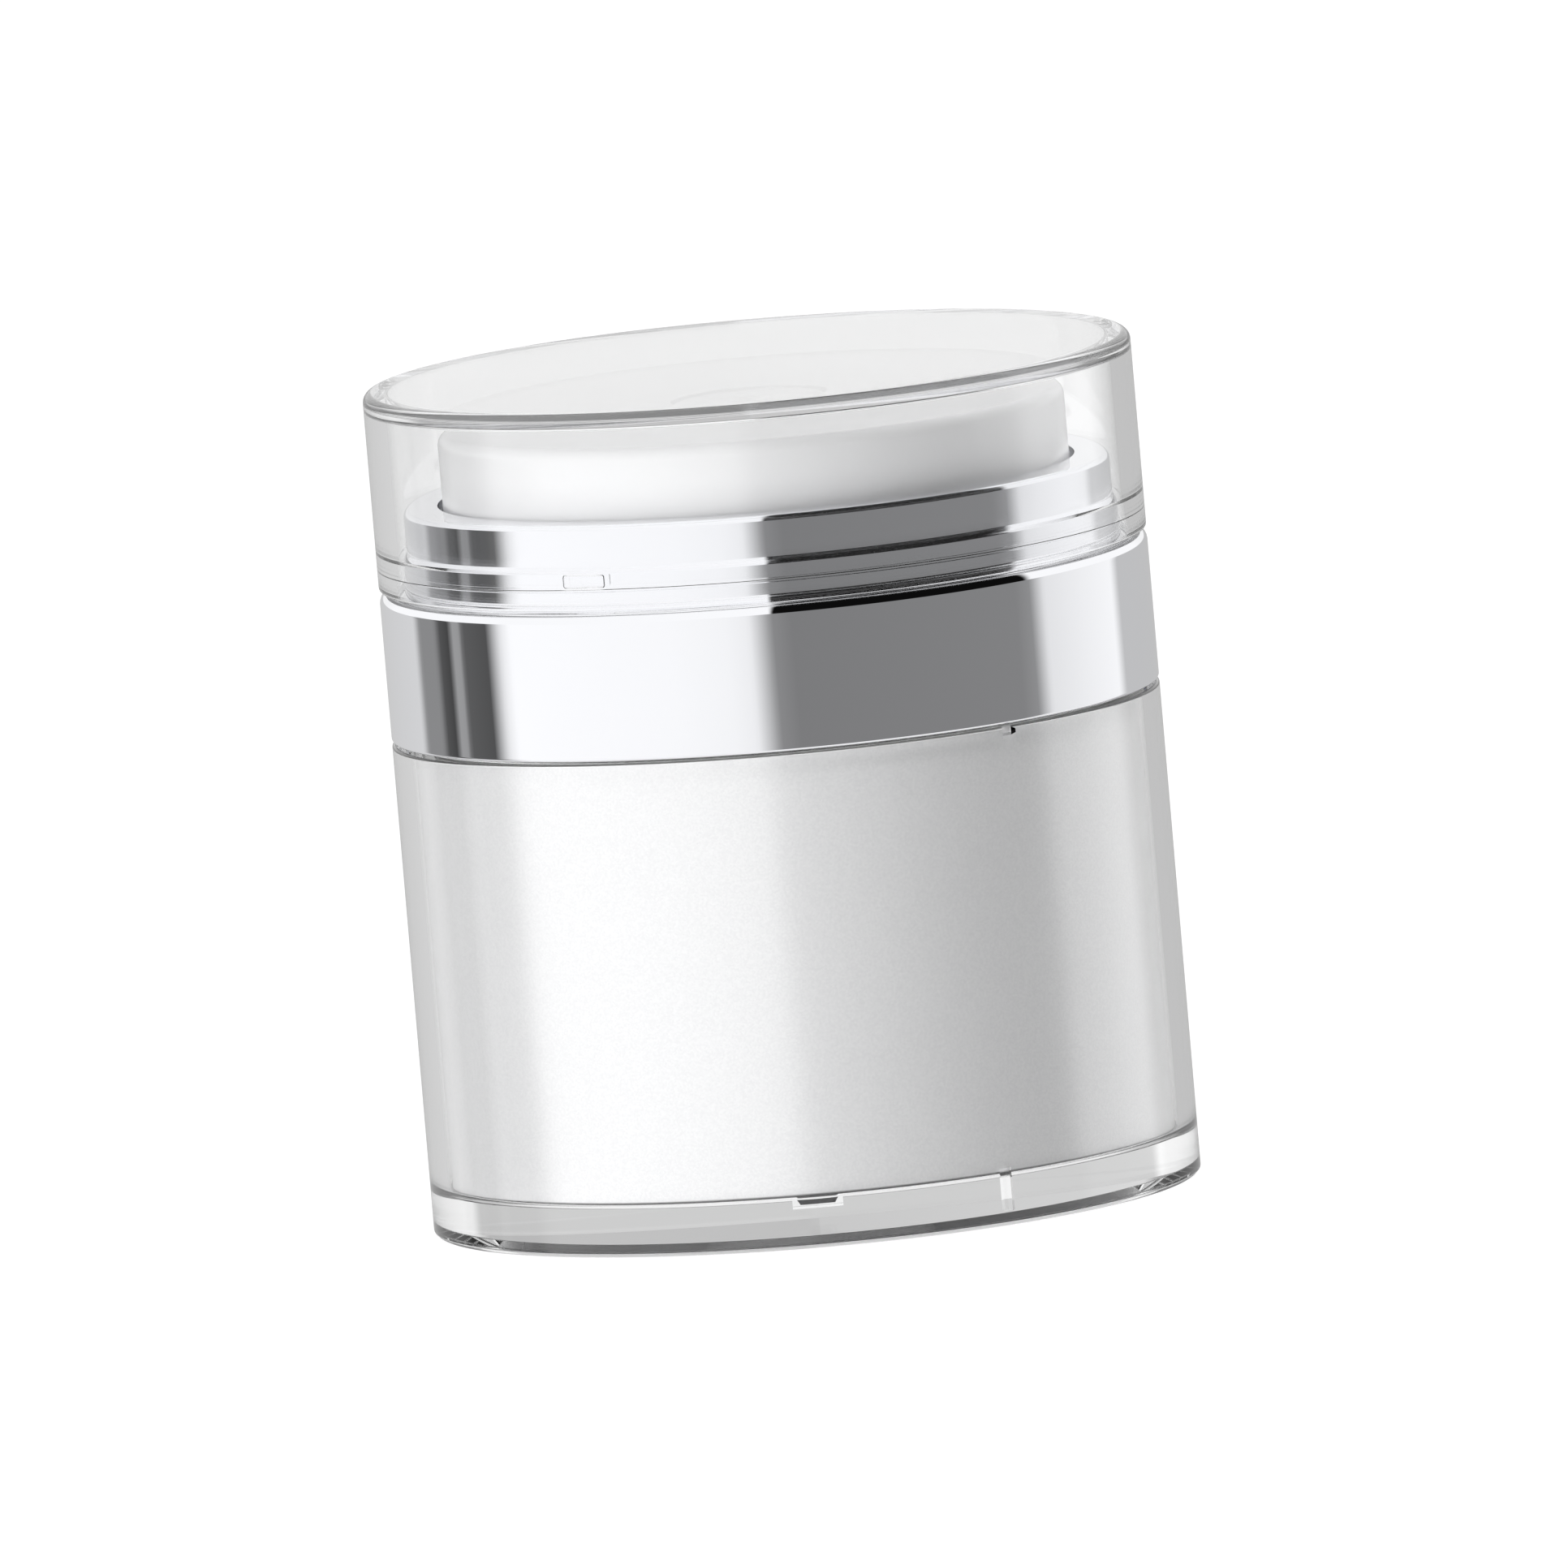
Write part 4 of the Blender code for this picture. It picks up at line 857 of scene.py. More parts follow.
cylinderSizes = {
    "port": 3.0 * mm, "spigot": 4.7 * mm, "outer": 9.2 * mm, "bore": 8.0 * mm, "round": 0.3 * mm,
    "bodyFoot": 1.8 * mm, "floorTop": 3.2 * mm, "sides": 96, "roundSteps": 3,
}
low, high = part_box("pump_cylinder")
cylinderMesh = turnedMesh(
    "pumpCylinder", finishOf("pump_cylinder"),
    {
        "port radius": cylinderSizes["port"], "spigot radius": cylinderSizes["spigot"],
        "outer radius": cylinderSizes["outer"], "bore radius": cylinderSizes["bore"], "spigot foot": low.z,
        "body foot": low.z + cylinderSizes["bodyFoot"], "rim height": high.z,
        "floor height": low.z + cylinderSizes["floorTop"], "round": cylinderSizes["round"],
    },
    [
        ("port radius", "spigot foot"), ("spigot radius", "spigot foot"), ("spigot radius", "body foot"),
        ("outer radius", "body foot", "round"), ("outer radius", "rim height"), ("bore radius", "rim height"),
        ("bore radius", "floor height", "round"), ("port radius", "floor height"),
    ],
    sides=cylinderSizes["sides"], steps=cylinderSizes["roundSteps"])
addPiece("pumpCylinder", cylinderMesh, "head", "pump_cylinder")

# Inlet valve: a soft mushroom

inletSizes = {"stalk": 1.2 * mm, "stalkLength": 1.7 * mm, "head": 4.2 * mm, "edge": 0.25 * mm, "sides": 64}
low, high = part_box("inlet_valve")
inletMesh = turnedMesh(
    "inletValve", finishOf("inlet_valve"),
    {
        "stalk radius": inletSizes["stalk"], "head radius": inletSizes["head"], "foot height": low.z,
        "head under": low.z + inletSizes["stalkLength"], "head top": high.z,
    },
    [
        (None, "foot height"), ("stalk radius", "foot height"), ("stalk radius", "head under"),
        ("head radius", "head under"), ("head radius", "head top"), (None, "head top"),
    ],
    ring=False, sides=inletSizes["sides"], edge=inletSizes["edge"])
addPiece("inletValve", inletMesh, "inlet", "inlet_valve")

# Cage over the inlet valve, with four ports

cageSizes = {
    "outer": 7.7 * mm, "bore": 6.2 * mm, "eye": 1.6 * mm, "top": 0.8 * mm, "portRadius": 0.8 * mm,
    "portCircle": 5.2 * mm, "ports": 4, "facing": 45.0, "sides": 64, "roundSteps": 3,
}
low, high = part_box("valve_cage")
cageMesh = turnedMesh(
    "valveCage", finishOf("valve_cage"),
    {
        "bore radius": cageSizes["bore"], "outer radius": cageSizes["outer"], "eye radius": cageSizes["eye"],
        "foot height": low.z, "top height": high.z, "top under": high.z - cageSizes["top"],
    },
    [
        ("bore radius", "foot height"), ("outer radius", "foot height"), ("outer radius", "top height"),
        ("eye radius", "top height"), ("eye radius", "top under"), ("bore radius", "top under"),
    ],
    sides=cageSizes["sides"], steps=cageSizes["roundSteps"])
cagePorts = bakeTree(boreTree, {
    "circle radius": cageSizes["portCircle"], "middle height": high.z - cageSizes["top"] / 2,
    "width": cageSizes["portRadius"] * 2, "height": cageSizes["top"] * 2, "count": cageSizes["ports"],
    "facing": math.radians(cageSizes["facing"]), "finish": finishOf("valve_cage"),
})
cageMesh = combine(cageMesh, [cagePorts], "DIFFERENCE")
addPiece("valveCage", cageMesh, "head", "valve_cage", sharp=crease)

# Stem, its plug and the double-lipped piston

plugSizes = {
    "flange": 5.0 * mm, "flangeHeight": 0.9 * mm, "pin": 1.6 * mm, "pinRound": 0.5 * mm, "sides": 64,
}
low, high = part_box("stem_plug")
plugMesh = turnedMesh(
    "stemPlug", finishOf("stem_plug"),
    {
        "flange radius": plugSizes["flange"], "pin radius": plugSizes["pin"], "foot height": low.z,
        "flange top": low.z + plugSizes["flangeHeight"], "pin top": high.z,
        "pin round": plugSizes["pinRound"],
    },
    [
        (None, "foot height"), ("flange radius", "foot height"), ("flange radius", "flange top"),
        ("pin radius", "flange top"), ("pin radius", "pin top", "pin round"), (None, "pin top"),
    ],
    ring=False, sides=plugSizes["sides"])
addPiece("stemPlug", plugMesh, "actuator", "stem_plug")

pistonSizes = {
    "bore": 3.8 * mm, "lip": 7.7 * mm, "waist": 6.7 * mm, "lipHeight": 0.8 * mm, "lipRound": 0.3 * mm,
    "sides": 64, "roundSteps": 3,
}
low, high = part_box("pump_piston")
pistonMesh = turnedMesh(
    "pumpPiston", finishOf("pump_piston"),
    {
        "bore radius": pistonSizes["bore"], "lip radius": pistonSizes["lip"],
        "waist radius": pistonSizes["waist"], "foot height": low.z,
        "lower lip": low.z + pistonSizes["lipHeight"], "upper lip": high.z - pistonSizes["lipHeight"],
        "top height": high.z, "lip round": pistonSizes["lipRound"],
    },
    [
        ("bore radius", "foot height"), ("lip radius", "foot height", "lip round"),
        ("lip radius", "lower lip", "lip round"), ("waist radius", "lower lip"),
        ("waist radius", "upper lip"),
        ("lip radius", "upper lip", "lip round"), ("lip radius", "top height", "lip round"),
        ("bore radius", "top height"),
    ],
    sides=pistonSizes["sides"], steps=pistonSizes["roundSteps"])
addPiece("pumpPiston", pistonMesh, "actuator", "pump_piston")

stemSizes = {"bore": 2.2 * mm, "outer": 3.5 * mm, "sides": 64, "roundSteps": 3}
low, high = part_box("stem")
stemMesh = turnedMesh(
    "stem", finishOf("stem"),
    {
        "bore radius": stemSizes["bore"], "outer radius": stemSizes["outer"],
        "foot height": low.z, "top height": high.z,
    },
    [
        ("bore radius", "foot height"), ("outer radius", "foot height"),
        ("outer radius", "top height"), ("bore radius", "top height"),
    ],
    sides=stemSizes["sides"], steps=stemSizes["roundSteps"])
addPiece("stem", stemMesh, "actuator", "stem")

# Bush that closes the cylinder's top

bushSizes = {
    "bore": 3.8 * mm, "spigot": 7.7 * mm, "flange": 9.2 * mm, "spigotDepth": 0.8 * mm,
    "sides": 64, "roundSteps": 3,
}
low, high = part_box("lock_bush")
bushMesh = turnedMesh(
    "lockBush", finishOf("lock_bush"),
    {
        "bore radius": bushSizes["bore"], "spigot radius": bushSizes["spigot"],
        "flange radius": bushSizes["flange"], "foot height": low.z,
        "flange under": low.z + bushSizes["spigotDepth"], "top height": high.z,
    },
    [
        ("bore radius", "foot height"), ("spigot radius", "foot height"), ("spigot radius", "flange under"),
        ("flange radius", "flange under"), ("flange radius", "top height"), ("bore radius", "top height"),
    ],
    sides=bushSizes["sides"], steps=bushSizes["roundSteps"])
addPiece("lockBush", bushMesh, "head", "lock_bush")

# Return spring: closed first and last turns, four open ones

springSizes = {
    "coil": 10.3 * mm, "wire": 1.0 * mm, "closedPitch": 1.5 * mm, "openRise": 12.3 * mm, "openTurns": 4.0,
    "stepsPerTurn": 64, "wireSides": 16, "crease": 50, "pressedShare": 0.724,
}
low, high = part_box("return_spring")
springMesh = bakeTree(springTree, {
    "coil radius": springSizes["coil"], "wire radius": springSizes["wire"] / 2,
    "foot height": low.z + springSizes["wire"] / 2, "closed pitch": springSizes["closedPitch"],
    "open rise": springSizes["openRise"], "open turns": springSizes["openTurns"],
    "steps per turn": springSizes["stepsPerTurn"], "wire sides": springSizes["wireSides"],
    "finish": finishOf("return_spring"),
})
returnSpring = addPiece("returnSpring", springMesh, "head", "return_spring", sharp=springSizes["crease"])
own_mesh(returnSpring)

# Threaded sleeve inside the collar

sleeveSizes = {
    "outer": 29.7 * mm, "bore": 27.9 * mm, "topBore": 26.0 * mm, "top": 1.4 * mm,
    "sides": 128, "roundSteps": 3, "threadCrest": 27.0 * mm, "threadStart": 41.425 * mm,
    "threadRootWidth": 1.2 * mm, "threadCrestWidth": 0.5 * mm, "threadSink": 0.3 * mm,
    "threadSteps": 121, "pitch": 2.5 * mm, "turns": 0.95, "facing": 4.0, "taper": 0.06,
}
low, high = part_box("thread_sleeve")
sleeveMesh = turnedMesh(
    "threadSleeve", finishOf("thread_sleeve"),
    {
        "bore radius": sleeveSizes["bore"], "outer radius": sleeveSizes["outer"],
        "top bore radius": sleeveSizes["topBore"], "foot height": low.z, "top height": high.z,
        "top under": high.z - sleeveSizes["top"],
    },
    [
        ("bore radius", "foot height"), ("outer radius", "foot height"), ("outer radius", "top height"),
        ("top bore radius", "top height"), ("top bore radius", "top under"), ("bore radius", "top under"),
    ],
    sides=sleeveSizes["sides"], steps=sleeveSizes["roundSteps"])
sleeveThread = bakeTree(threadTree, {
    "root radius": sleeveSizes["bore"] + sleeveSizes["threadSink"],
    "crest radius": sleeveSizes["threadCrest"],
    "root width": sleeveSizes["threadRootWidth"], "crest width": sleeveSizes["threadCrestWidth"],
    "start height": sleeveSizes["threadStart"], "pitch": sleeveSizes["pitch"], "turns": sleeveSizes["turns"],
    "facing": math.radians(sleeveSizes["facing"]), "taper": sleeveSizes["taper"],
    "steps": sleeveSizes["threadSteps"], "finish": finishOf("thread_sleeve"),
})
sleeveMesh = combine(sleeveMesh, [sleeveThread], "UNION")
addPiece("threadSleeve", sleeveMesh, "head", "thread_sleeve", sharp=crease)

# Metallised collar: the band, its stepped rings and the neck

collarSizes = {
    "bandBore": 30.0 * mm, "ringRadius": 28.9 * mm, "stepRadius": 28.8 * mm, "neckRadius": 28.5 * mm,
    "underBore": 26.8 * mm, "neckBore": 25.7 * mm, "bandTop": 52.2 * mm, "ringTop": 53.7 * mm,
    "slopeFoot": 55.15 * mm, "stepTop": 55.7 * mm, "neckUnder": 56.25 * mm, "bandUnder": 50.65 * mm,
    "neckRound": 0.47 * mm, "bandRound": 0.95 * mm, "bandFootRound": 0.25 * mm, "ringRound": 0.1 * mm,
    "ringEdge": 0.03 * mm, "sides": 192, "roundSteps": 6,
}
low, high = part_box("collar")
collarMesh = turnedMesh(
    "collar", finishOf("collar"),
    {
        "band radius": high.x, "band bore": collarSizes["bandBore"], "ring radius": collarSizes["ringRadius"],
        "step radius": collarSizes["stepRadius"], "neck radius": collarSizes["neckRadius"],
        "under bore": collarSizes["underBore"], "neck bore": collarSizes["neckBore"], "foot height": low.z,
        "band top": collarSizes["bandTop"], "ring top": collarSizes["ringTop"],
        "step top": collarSizes["stepTop"], "neck top": high.z,
        "neck under": collarSizes["neckUnder"], "band under": collarSizes["bandUnder"],
        "neck round": collarSizes["neckRound"], "band round": collarSizes["bandRound"],
        "band foot round": collarSizes["bandFootRound"], "ring round": collarSizes["ringRound"],
        "slope foot": collarSizes["slopeFoot"], "ring edge": collarSizes["ringEdge"],
    },
    [
        ("band bore", "foot height"), ("band radius", "foot height", "band foot round"),
        ("band radius", "band top", "band round"), ("ring radius", "band top", "ring edge"),
        ("ring radius", "ring top", "ring edge"), ("step radius", "ring top", "ring edge"),
        ("step radius", "slope foot", "ring round"), ("neck radius", "step top", "ring round"),
        ("neck radius", "neck top", "neck round"), ("neck bore", "neck top", "ring round"),
        ("neck bore", "neck under"), ("under bore", "neck under"), ("under bore", "band under"),
        ("band bore", "band under"),
    ],
    sides=collarSizes["sides"], steps=collarSizes["roundSteps"])
addPiece("collar", collarMesh, "head", "collar")

# Press plate: the white head, dished a little towards its outlet

plateSizes = {
    "flange": 26.4 * mm, "flangeHeight": 0.8 * mm, "wallBore": 24.0 * mm, "plate": 25.3 * mm,
    "dishRadius": 6.3 * mm, "dishDrop": 0.3 * mm, "outletBore": 5.3 * mm, "seatDrop": 2.2 * mm,
    "valveDrop": 3.9 * mm, "socketBore": 3.8 * mm, "socketOuter": 7.6 * mm, "socketDrop": 7.6 * mm,
    "skin": 1.5 * mm, "cupBore": 9.6 * mm, "cupOuter": 11.0 * mm, "cupDrop": 11.9 * mm,
    "topRound": 0.95 * mm, "innerRound": 0.4 * mm, "wallFoot": 55.15 * mm, "sides": 160, "roundSteps": 6,
}
low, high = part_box("press_plate")
wallFoot = plateSizes["wallFoot"]
plateMesh = turnedMesh(
    "pressPlate", finishOf("press_plate"),
    {
        "wall bore": plateSizes["wallBore"], "flange radius": plateSizes["flange"],
        "plate radius": plateSizes["plate"], "dish radius": plateSizes["dishRadius"],
        "outlet bore": plateSizes["outletBore"], "socket bore": plateSizes["socketBore"],
        "socket radius": plateSizes["socketOuter"], "cup bore": plateSizes["cupBore"],
        "cup radius": plateSizes["cupOuter"], "wall foot": wallFoot,
        "flange top": wallFoot + plateSizes["flangeHeight"], "plate top": high.z,
        "dish height": high.z - plateSizes["dishDrop"], "seat height": high.z - plateSizes["seatDrop"],
        "valve height": high.z - plateSizes["valveDrop"], "socket foot": high.z - plateSizes["socketDrop"],
        "under height": high.z - plateSizes["skin"], "cup foot": high.z - plateSizes["cupDrop"],
        "top round": plateSizes["topRound"], "inner round": plateSizes["innerRound"],
    },
    [
        ("wall bore", "wall foot"), ("flange radius", "wall foot"), ("flange radius", "flange top"),
        ("plate radius", "flange top"), ("plate radius", "plate top", "top round"),
        ("dish radius", "dish height"), ("dish radius", "seat height"), ("outlet bore", "seat height"),
        ("outlet bore", "valve height"), ("socket bore", "valve height"), ("socket bore", "socket foot"),
        ("socket radius", "socket foot"), ("socket radius", "under height", "inner round"),
        ("cup bore", "under height", "inner round"), ("cup bore", "cup foot"), ("cup radius", "cup foot"),
        ("cup radius", "under height", "inner round"), ("wall bore", "under height", "inner round"),
    ],
    sides=plateSizes["sides"], steps=plateSizes["roundSteps"])
addPiece("pressPlate", plateMesh, "actuator", "press_plate")

# Outlet valve and the insert round the orifice

outletSizes = {
    "slit": 0.5 * mm, "hub": 2.2 * mm, "rim": 5.0 * mm, "coneFoot": 1.0 * mm, "edge": 0.15 * mm,
    "sides": 64, "roundSteps": 3,
}
low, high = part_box("outlet_valve")
outletMesh = turnedMesh(
    "outletValve", finishOf("outlet_valve"),
    {
        "slit radius": outletSizes["slit"], "hub radius": outletSizes["hub"],
        "rim radius": outletSizes["rim"], "foot height": low.z,
        "cone foot": low.z + outletSizes["coneFoot"], "top height": high.z,
    },
    [
        ("slit radius", "cone foot"), ("hub radius", "foot height"), ("rim radius", "foot height"),
        ("rim radius", "top height"), ("hub radius", "top height"), ("slit radius", "top height"),
    ],
    sides=outletSizes["sides"], edge=outletSizes["edge"], steps=outletSizes["roundSteps"])
addPiece("outletValve", outletMesh, "actuator", "outlet_valve")

insertSizes = {
    "orifice": 1.0 * mm, "flare": 0.8 * mm, "flareDrop": 0.7 * mm, "flareRound": 0.35 * mm,
    "rim": 6.0 * mm, "sides": 96,
}
low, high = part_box("orifice_insert")
insertMesh = turnedMesh(
    "orificeInsert", finishOf("orifice_insert"),
    {
        "orifice radius": insertSizes["orifice"], "rim radius": insertSizes["rim"],
        "flare radius": insertSizes["orifice"] + insertSizes["flare"], "foot height": low.z,
        "top height": high.z, "flare foot": high.z - insertSizes["flareDrop"],
        "flare round": insertSizes["flareRound"],
    },
    [
        ("orifice radius", "foot height"), ("rim radius", "foot height"), ("rim radius", "top height"),
        ("flare radius", "top height", "flare round"), ("orifice radius", "flare foot", "flare round"),
    ],
    sides=insertSizes["sides"])
addPiece("orificeInsert", insertMesh, "actuator", "orifice_insert")

# Clear overcap with its inner lugs

capSizes = {
    "wall": 1.8 * mm, "top": 1.3 * mm, "topRound": 0.75 * mm, "innerRound": 0.25 * mm,
    "mouthBore": 29.5 * mm, "mouthFoot": 0.35 * mm, "mouthDepth": 2.0 * mm, "mouthSlope": 0.05 * mm,
    "mouthRound": 0.15 * mm, "mouthOuterRound": 0.28 * mm, "mouthStepRound": 0.02 * mm,
    "middleBore": 29.35 * mm, "middleDepth": 3.55 * mm, "middleSlope": 0.25 * mm, "stepRound": 0.06 * mm,
    "lugs": 2, "lugWidth": 3.7 * mm, "lugReach": 0.4 * mm, "lugDepth": 1.0 * mm, "lugLow": 54.1 * mm,
    "lugHigh": 55.2 * mm, "lugAngle": -28.9, "lugRound": 0.22 * mm, "lugSteps": 3,
    "sides": 192, "roundSteps": 8,
}
low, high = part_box("overcap")
capMesh = turnedMesh(
    "overcap", finishOf("overcap"),
    {
        "outer radius": high.x, "bore radius": high.x - capSizes["wall"],
        "mouth radius": capSizes["mouthBore"], "middle radius": capSizes["middleBore"],
        "top height": high.z, "under height": high.z - capSizes["top"],
        "mouth top": low.z + capSizes["mouthDepth"], "middle top": low.z + capSizes["middleDepth"],
        "mouth slope": low.z + capSizes["mouthDepth"] - capSizes["mouthSlope"],
        "middle slope": low.z + capSizes["middleDepth"] - capSizes["middleSlope"],
        "mouth height": low.z + capSizes["mouthFoot"], "top round": capSizes["topRound"],
        "inner round": capSizes["innerRound"], "mouth round": capSizes["mouthRound"],
        "mouth outer round": capSizes["mouthOuterRound"], "step round": capSizes["stepRound"],
        "mouth step round": capSizes["mouthStepRound"],
    },
    [
        (None, "under height"), ("bore radius", "under height", "inner round"),
        ("bore radius", "middle top", "step round"), ("middle radius", "middle slope", "step round"),
        ("middle radius", "mouth top", "mouth step round"),
        ("mouth radius", "mouth slope", "mouth step round"), ("mouth radius", "mouth height", "mouth round"),
        ("outer radius", "mouth height", "mouth outer round"),
        ("outer radius", "top height", "top round"), (None, "top height"),
    ],
    ring=False, sides=capSizes["sides"], steps=capSizes["roundSteps"])
capLugs = bakeTree(lugTree, {
    "circle radius": capSizes["mouthBore"] - capSizes["lugReach"] + capSizes["lugDepth"] / 2,
    "middle height": (capSizes["lugLow"] + capSizes["lugHigh"]) / 2, "width": capSizes["lugWidth"],
    "reach": capSizes["lugDepth"], "height": capSizes["lugHigh"] - capSizes["lugLow"],
    "count": capSizes["lugs"], "facing": math.radians(capSizes["lugAngle"]),
    "finish": finishOf("overcap"),
})
roundEdges(capLugs, capSizes["lugRound"], capSizes["lugSteps"])
capMesh = combine(capMesh, [capLugs], "UNION")
addPiece("overcap", capMesh, "cap", "overcap", sharp=crease)


# Studio: pale floor, a soft surround and the camera

# Brightness: backdrop is what the camera sees, mirror... what a reflection sees, glass... what
# light inside a clear wall sees, and the others light the matt surfaces
studio = {
    "floorSize": 4.0, "floorDrop": 0.03 * mm, "floorGlow": 0.9, "floorTint": (0.2, 0.2, 0.2), "backdrop": 1.0,
    "overhead": 1.0, "underneath": 0.1, "mirrorOverhead": 1.0, "mirrorBelow": 0.9, "mirrorShade": 0.004,
    "mirrorBehind": 0.93, "glassBack": 0.62, "glassCore": 0.22, "fillAbove": 0.15, "fillBelow": 1.85,
}
# Where one part of the surround fades into the next, as a share of the ray's direction: up, north
# (away from the camera) or east (to its right), and for rightFront the sum of east and north
fades = {
    "horizon": (0.02, 0.05), "below": (-0.45, -0.6), "right": (0.0, 0.03), "rightFront": (0.88, 0.95),
    "behind": (0.85, 0.95), "glassRear": (0.58, 0.64), "fillRight": (-0.2, -0.05), "fillFront": (-0.1, 0.1),
    "fillTilt": (-0.03, 0.03), "fillTop": (0.6, 0.85), "fillFloor": (-0.6, -0.85),
}
# Light inside a clear wall: how often it has passed a surface and how often it has bounced
glassPaths = {"leastWalls": 1.5, "mostWalls": 3.5, "fewBounces": 4.5, "manyBounces": 8.5}
# Brightness that mirrors see near the horizon: compass angle in degrees (0 is towards the
# camera, plus is to its right), then the value
mirrorBands = [
    (-180, 0.58), (-133, 0.67), (-129, 0.26), (-120, 0.26), (-117, 0.09), (-112, 0.06), (-110, 0.33),
    (-107, 0.33), (-105, 0.11), (-94, 0.085), (-88, 0.85), (-84, 1.03), (-30, 0.99), (-13, 0.95),
    (-6, 0.89), (1, 0.26), (7, 0.21), (80, 0.23), (86, 0.28), (92, 0.8), (110, 0.9), (127, 0.97),
    (132, 0.54), (180, 0.53),
]
# Brightness that matt surfaces see, in the same angles
fillBands = [
    (-180, 0.2), (-140, 0.38), (-90, 0.32), (-75, 0.4), (-65, 1.7), (-55, 3.0), (-45, 2.3), (-35, 0.6),
    (-25, 0.6), (-15, 1.18), (-5, 1.66), (5, 1.71), (15, 1.18), (25, 0.15), (100, 0.1), (115, 2.9),
    (125, 4.5), (135, 3.6), (145, 1.2), (155, 0.4), (180, 0.2),
]
bandScale = 5.0  # a colour ramp holds values up to 1, so the bands are stored divided by this


def makeFloor():
    mesh = bpy.data.meshes.new("studioFloor")
    half, depth = studio["floorSize"], -studio["floorDrop"]
    corners = [(-half, -half, depth), (half, -half, depth), (half, half, depth), (-half, half, depth)]
    mesh.from_pydata(corners, [], [(0, 1, 2, 3)])
    floor = bpy.data.objects.new("studioFloor", mesh)
    bpy.context.scene.collection.objects.link(floor)
    material = bpy.data.materials.new("paleFloor")
    material.use_nodes = True
    tree = material.node_tree
    tree.nodes.clear()
    output = makeNode(tree, "ShaderNodeOutputMaterial")
    shader = makeNode(tree, "ShaderNodeBsdfPrincipled")
    shader.inputs["Base Color"].default_value = (*studio["floorTint"], 1.0)
    shader.inputs["Roughness"].default_value = 1.0
    shader.inputs["Specular IOR Level"].default_value = 0.0
    shader.inputs["Emission Color"].default_value = (1.0, 1.0, 1.0, 1.0)
    shader.inputs["Emission Strength"].default_value = studio["floorGlow"]
    join(tree, shader.outputs[0], output.inputs[0])
    mesh.materials.append(material)
    floor.visible_glossy = False
    floor.visible_transmission = False
    floor.visible_diffuse = False


def bandRamp(tree, share, bands):
    ramp = makeNode(tree, "ShaderNodeValToRGB")
    ramp.color_ramp.interpolation = "LINEAR"
    stops = ramp.color_ramp.elements
    while len(stops) > 1:
        stops.remove(stops[-1])
    for place, (angle, value) in enumerate(bands):
        position = angle / 360.0 + 0.5
        stop = stops[0] if place == 0 else stops.new(position)
        stop.position = position
        stop.color = (value / bandScale, value / bandScale, value / bandScale, 1.0)
    join(tree, share, ramp.inputs[0])
    return mathNode(tree, "MULTIPLY", ramp.outputs[0], bandScale)


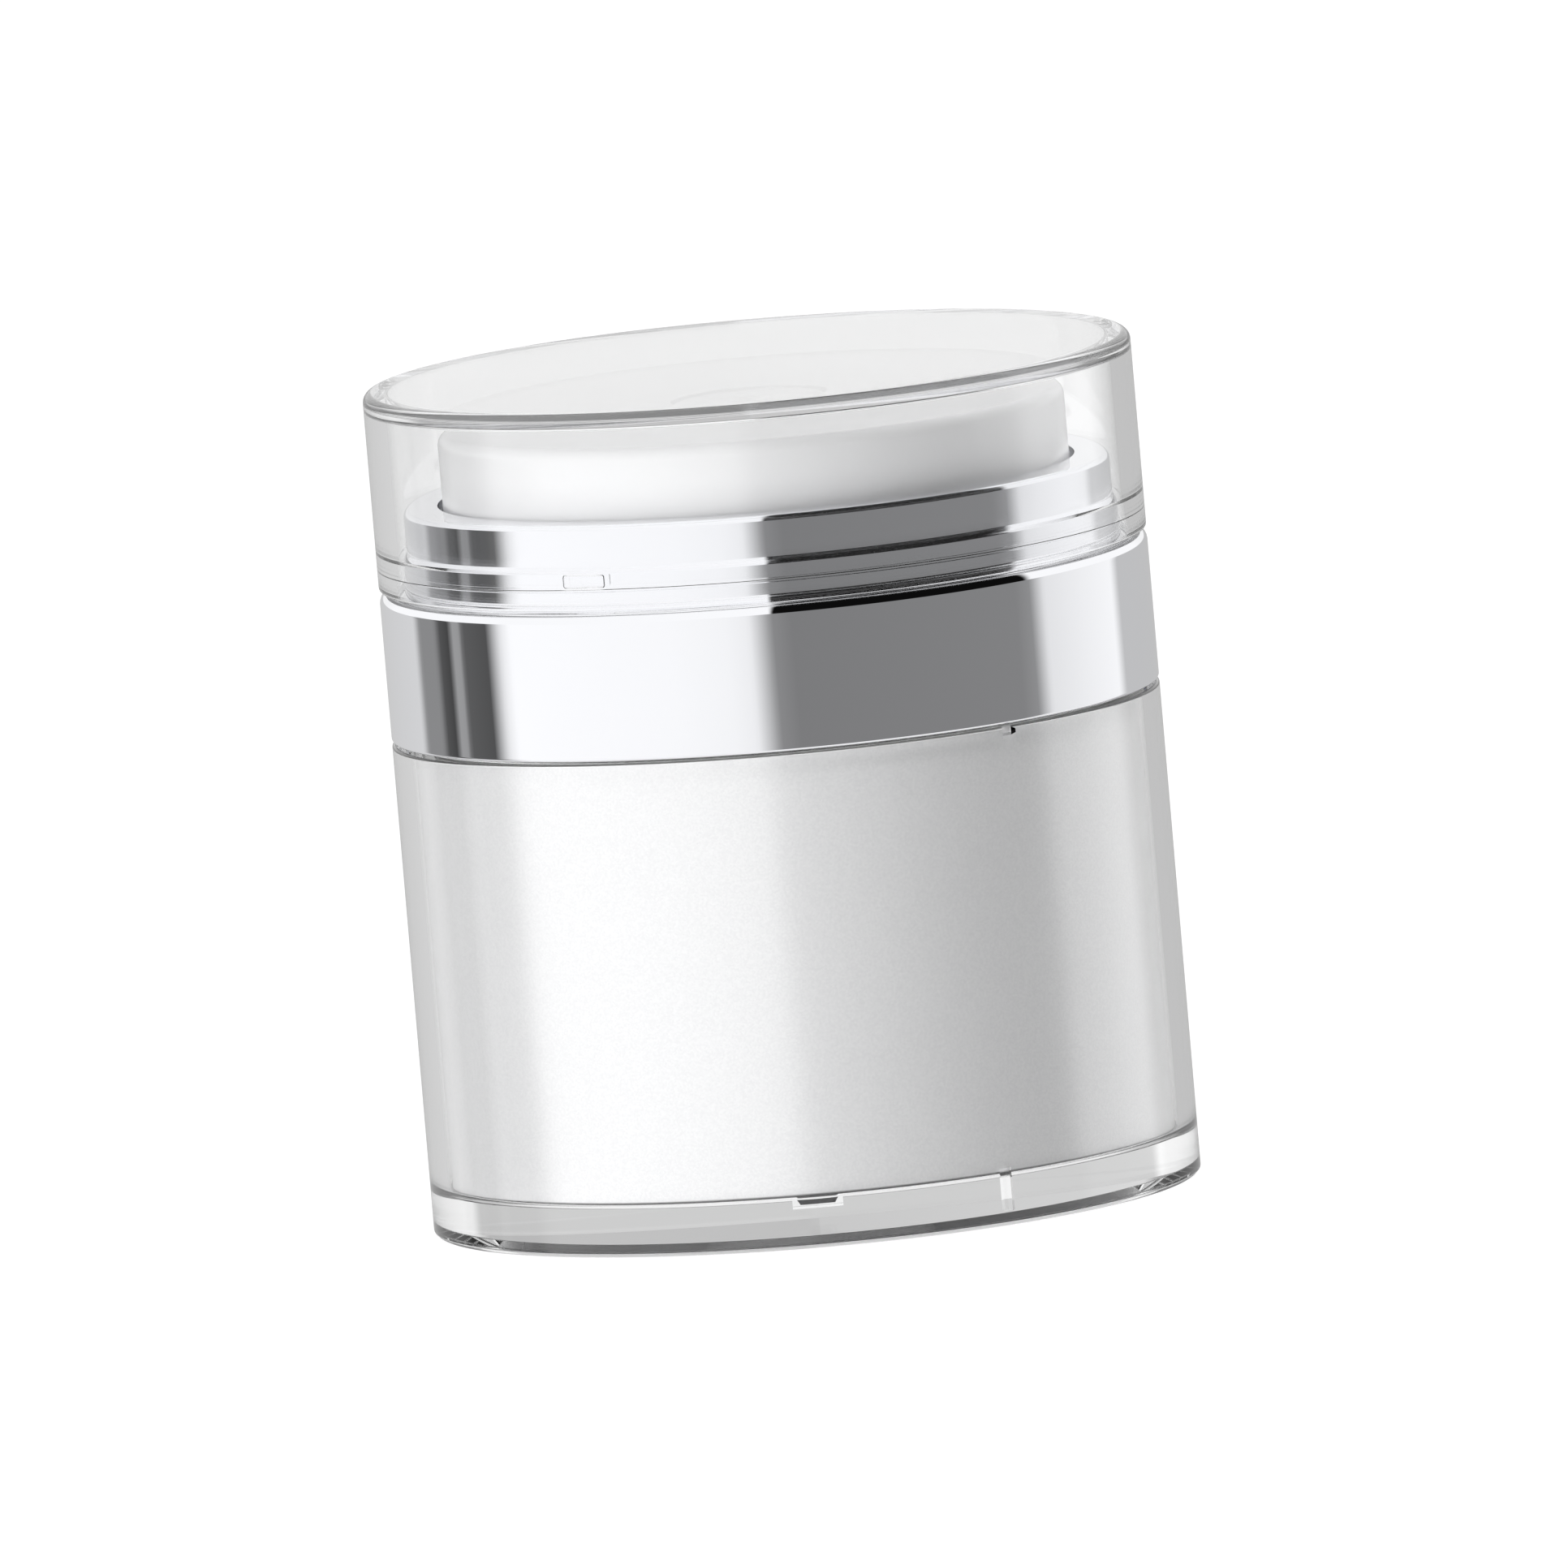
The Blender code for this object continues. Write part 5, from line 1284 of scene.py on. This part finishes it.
def makeSurround():
    world = bpy.data.worlds.new("softSurround")
    bpy.context.scene.world = world
    world.use_nodes = True
    tree = world.node_tree
    tree.nodes.clear()
    output = makeNode(tree, "ShaderNodeOutputWorld")
    light = makeNode(tree, "ShaderNodeBackground")
    join(tree, light.outputs[0], output.inputs[0])
    way = makeNode(tree, "ShaderNodeSeparateXYZ")
    join(tree, makeNode(tree, "ShaderNodeTexCoord").outputs["Generated"], way.inputs[0])
    east, north, up = way.outputs["X"], way.outputs["Y"], way.outputs["Z"]
    compass = mathNode(tree, "ARCTAN2", east, mathNode(tree, "MULTIPLY", north, -1.0))
    share = mathNode(tree, "ADD", mathNode(tree, "DIVIDE", compass, 2.0 * math.pi), 0.5)
    horizon = bandRamp(tree, share, mirrorBands)
    lower = mixValue(tree, fade(tree, up, fades["below"]), horizon, studio["mirrorBelow"])
    rightSide = fade(tree, east, fades["right"])
    frontSide = fade(tree, mathNode(tree, "ADD", east, north), fades["rightFront"], 1.0, 0.0)
    shaded = mathNode(tree, "MULTIPLY", rightSide, frontSide)
    upper = mixValue(tree, shaded, studio["mirrorOverhead"], studio["mirrorShade"])
    upper = mixValue(tree, fade(tree, north, fades["behind"]), upper, studio["mirrorBehind"])
    mirror = mixValue(tree, fade(tree, up, fades["horizon"]), lower, upper)
    ring = bandRamp(tree, share, fillBands)
    rightFront = mathNode(tree, "MULTIPLY", fade(tree, east, fades["fillRight"]),
                          fade(tree, north, fades["fillFront"], 1.0, 0.0))
    tilt = fade(tree, up, fades["fillTilt"], studio["fillBelow"], studio["fillAbove"])
    ring = mathNode(tree, "MULTIPLY", ring, mixValue(tree, rightFront, 1.0, tilt))
    fill = mixValue(tree, fade(tree, up, fades["fillTop"]), ring, studio["overhead"])
    fill = mixValue(tree, fade(tree, up, fades["fillFloor"]), fill, studio["underneath"])
    path = makeNode(tree, "ShaderNodeLightPath")
    bounces, walls = path.outputs["Glossy Depth"], path.outputs["Transmission Depth"]
    reflected = mathNode(tree, "GREATER_THAN", bounces, 0.5)
    scattered = mathNode(tree, "GREATER_THAN", path.outputs["Diffuse Depth"], 0.5)
    inGlass = between(tree, walls, glassPaths["leastWalls"], glassPaths["mostWalls"])
    rearward = mathNode(tree, "MULTIPLY", fade(tree, north, fades["glassRear"]),
                        fade(tree, up, fades["horizon"]))
    passing = mathNode(tree, "MULTIPLY", inGlass,
                       mathNode(tree, "LESS_THAN", bounces, glassPaths["fewBounces"]))
    passing = mathNode(tree, "MULTIPLY", passing, rearward)
    trapped = mathNode(tree, "MULTIPLY", inGlass,
                       mathNode(tree, "GREATER_THAN", bounces, glassPaths["manyBounces"]))
    mirror = mixValue(tree, passing, mirror, mathNode(tree, "MINIMUM", mirror, studio["glassBack"]))
    mirror = mixValue(tree, trapped, mirror, studio["glassCore"])
    seen = mixValue(tree, reflected, studio["backdrop"], mirror)
    join(tree, mixValue(tree, scattered, seen, fill), light.inputs["Color"])
    world.cycles.sampling_method = "NONE"


# The photograph's viewing angle, from far off with a long lens
viewpoint = {
    "target": (0.16 * mm, 0.0, 33.9 * mm), "distance": 6.0, "elevation": 6.75, "roll": 4.9,
    "lens": 1710.8, "sensor": 36.0, "near": 0.05, "far": 50.0,
}


def makeCamera():
    data = bpy.data.cameras.new("photoCamera")
    data.sensor_fit = "HORIZONTAL"
    data.sensor_width = viewpoint["sensor"]
    data.lens = viewpoint["lens"]
    data.clip_start = viewpoint["near"]
    data.clip_end = viewpoint["far"]
    camera = bpy.data.objects.new("photoCamera", data)
    bpy.context.scene.collection.objects.link(camera)
    rise = math.radians(viewpoint["elevation"])
    roll = math.radians(viewpoint["roll"])
    back = Vector((0.0, -math.cos(rise), math.sin(rise)))
    right = Vector((1.0, 0.0, 0.0))
    upward = back.cross(right)
    turnedRight = right * math.cos(roll) - upward * math.sin(roll)
    turnedUp = upward * math.cos(roll) + right * math.sin(roll)
    place = Matrix((turnedRight, turnedUp, back)).transposed().to_4x4()
    place.translation = Vector(viewpoint["target"]) + back * viewpoint["distance"]
    camera.matrix_world = place
    bpy.context.scene.camera = camera


makeFloor()
makeSurround()
makeCamera()
scene = bpy.context.scene
scene.view_settings.view_transform = "Standard"
scene.cycles.max_bounces = 40
scene.cycles.transmission_bounces = 24
scene.cycles.glossy_bounces = 32
scene.cycles.diffuse_bounces = 4
scene.cycles.blur_glossy = 0.0  # matt surfaces are lit through the clear walls without loss
scene.cycles.transparent_max_bounces = 8
print("studio ready")
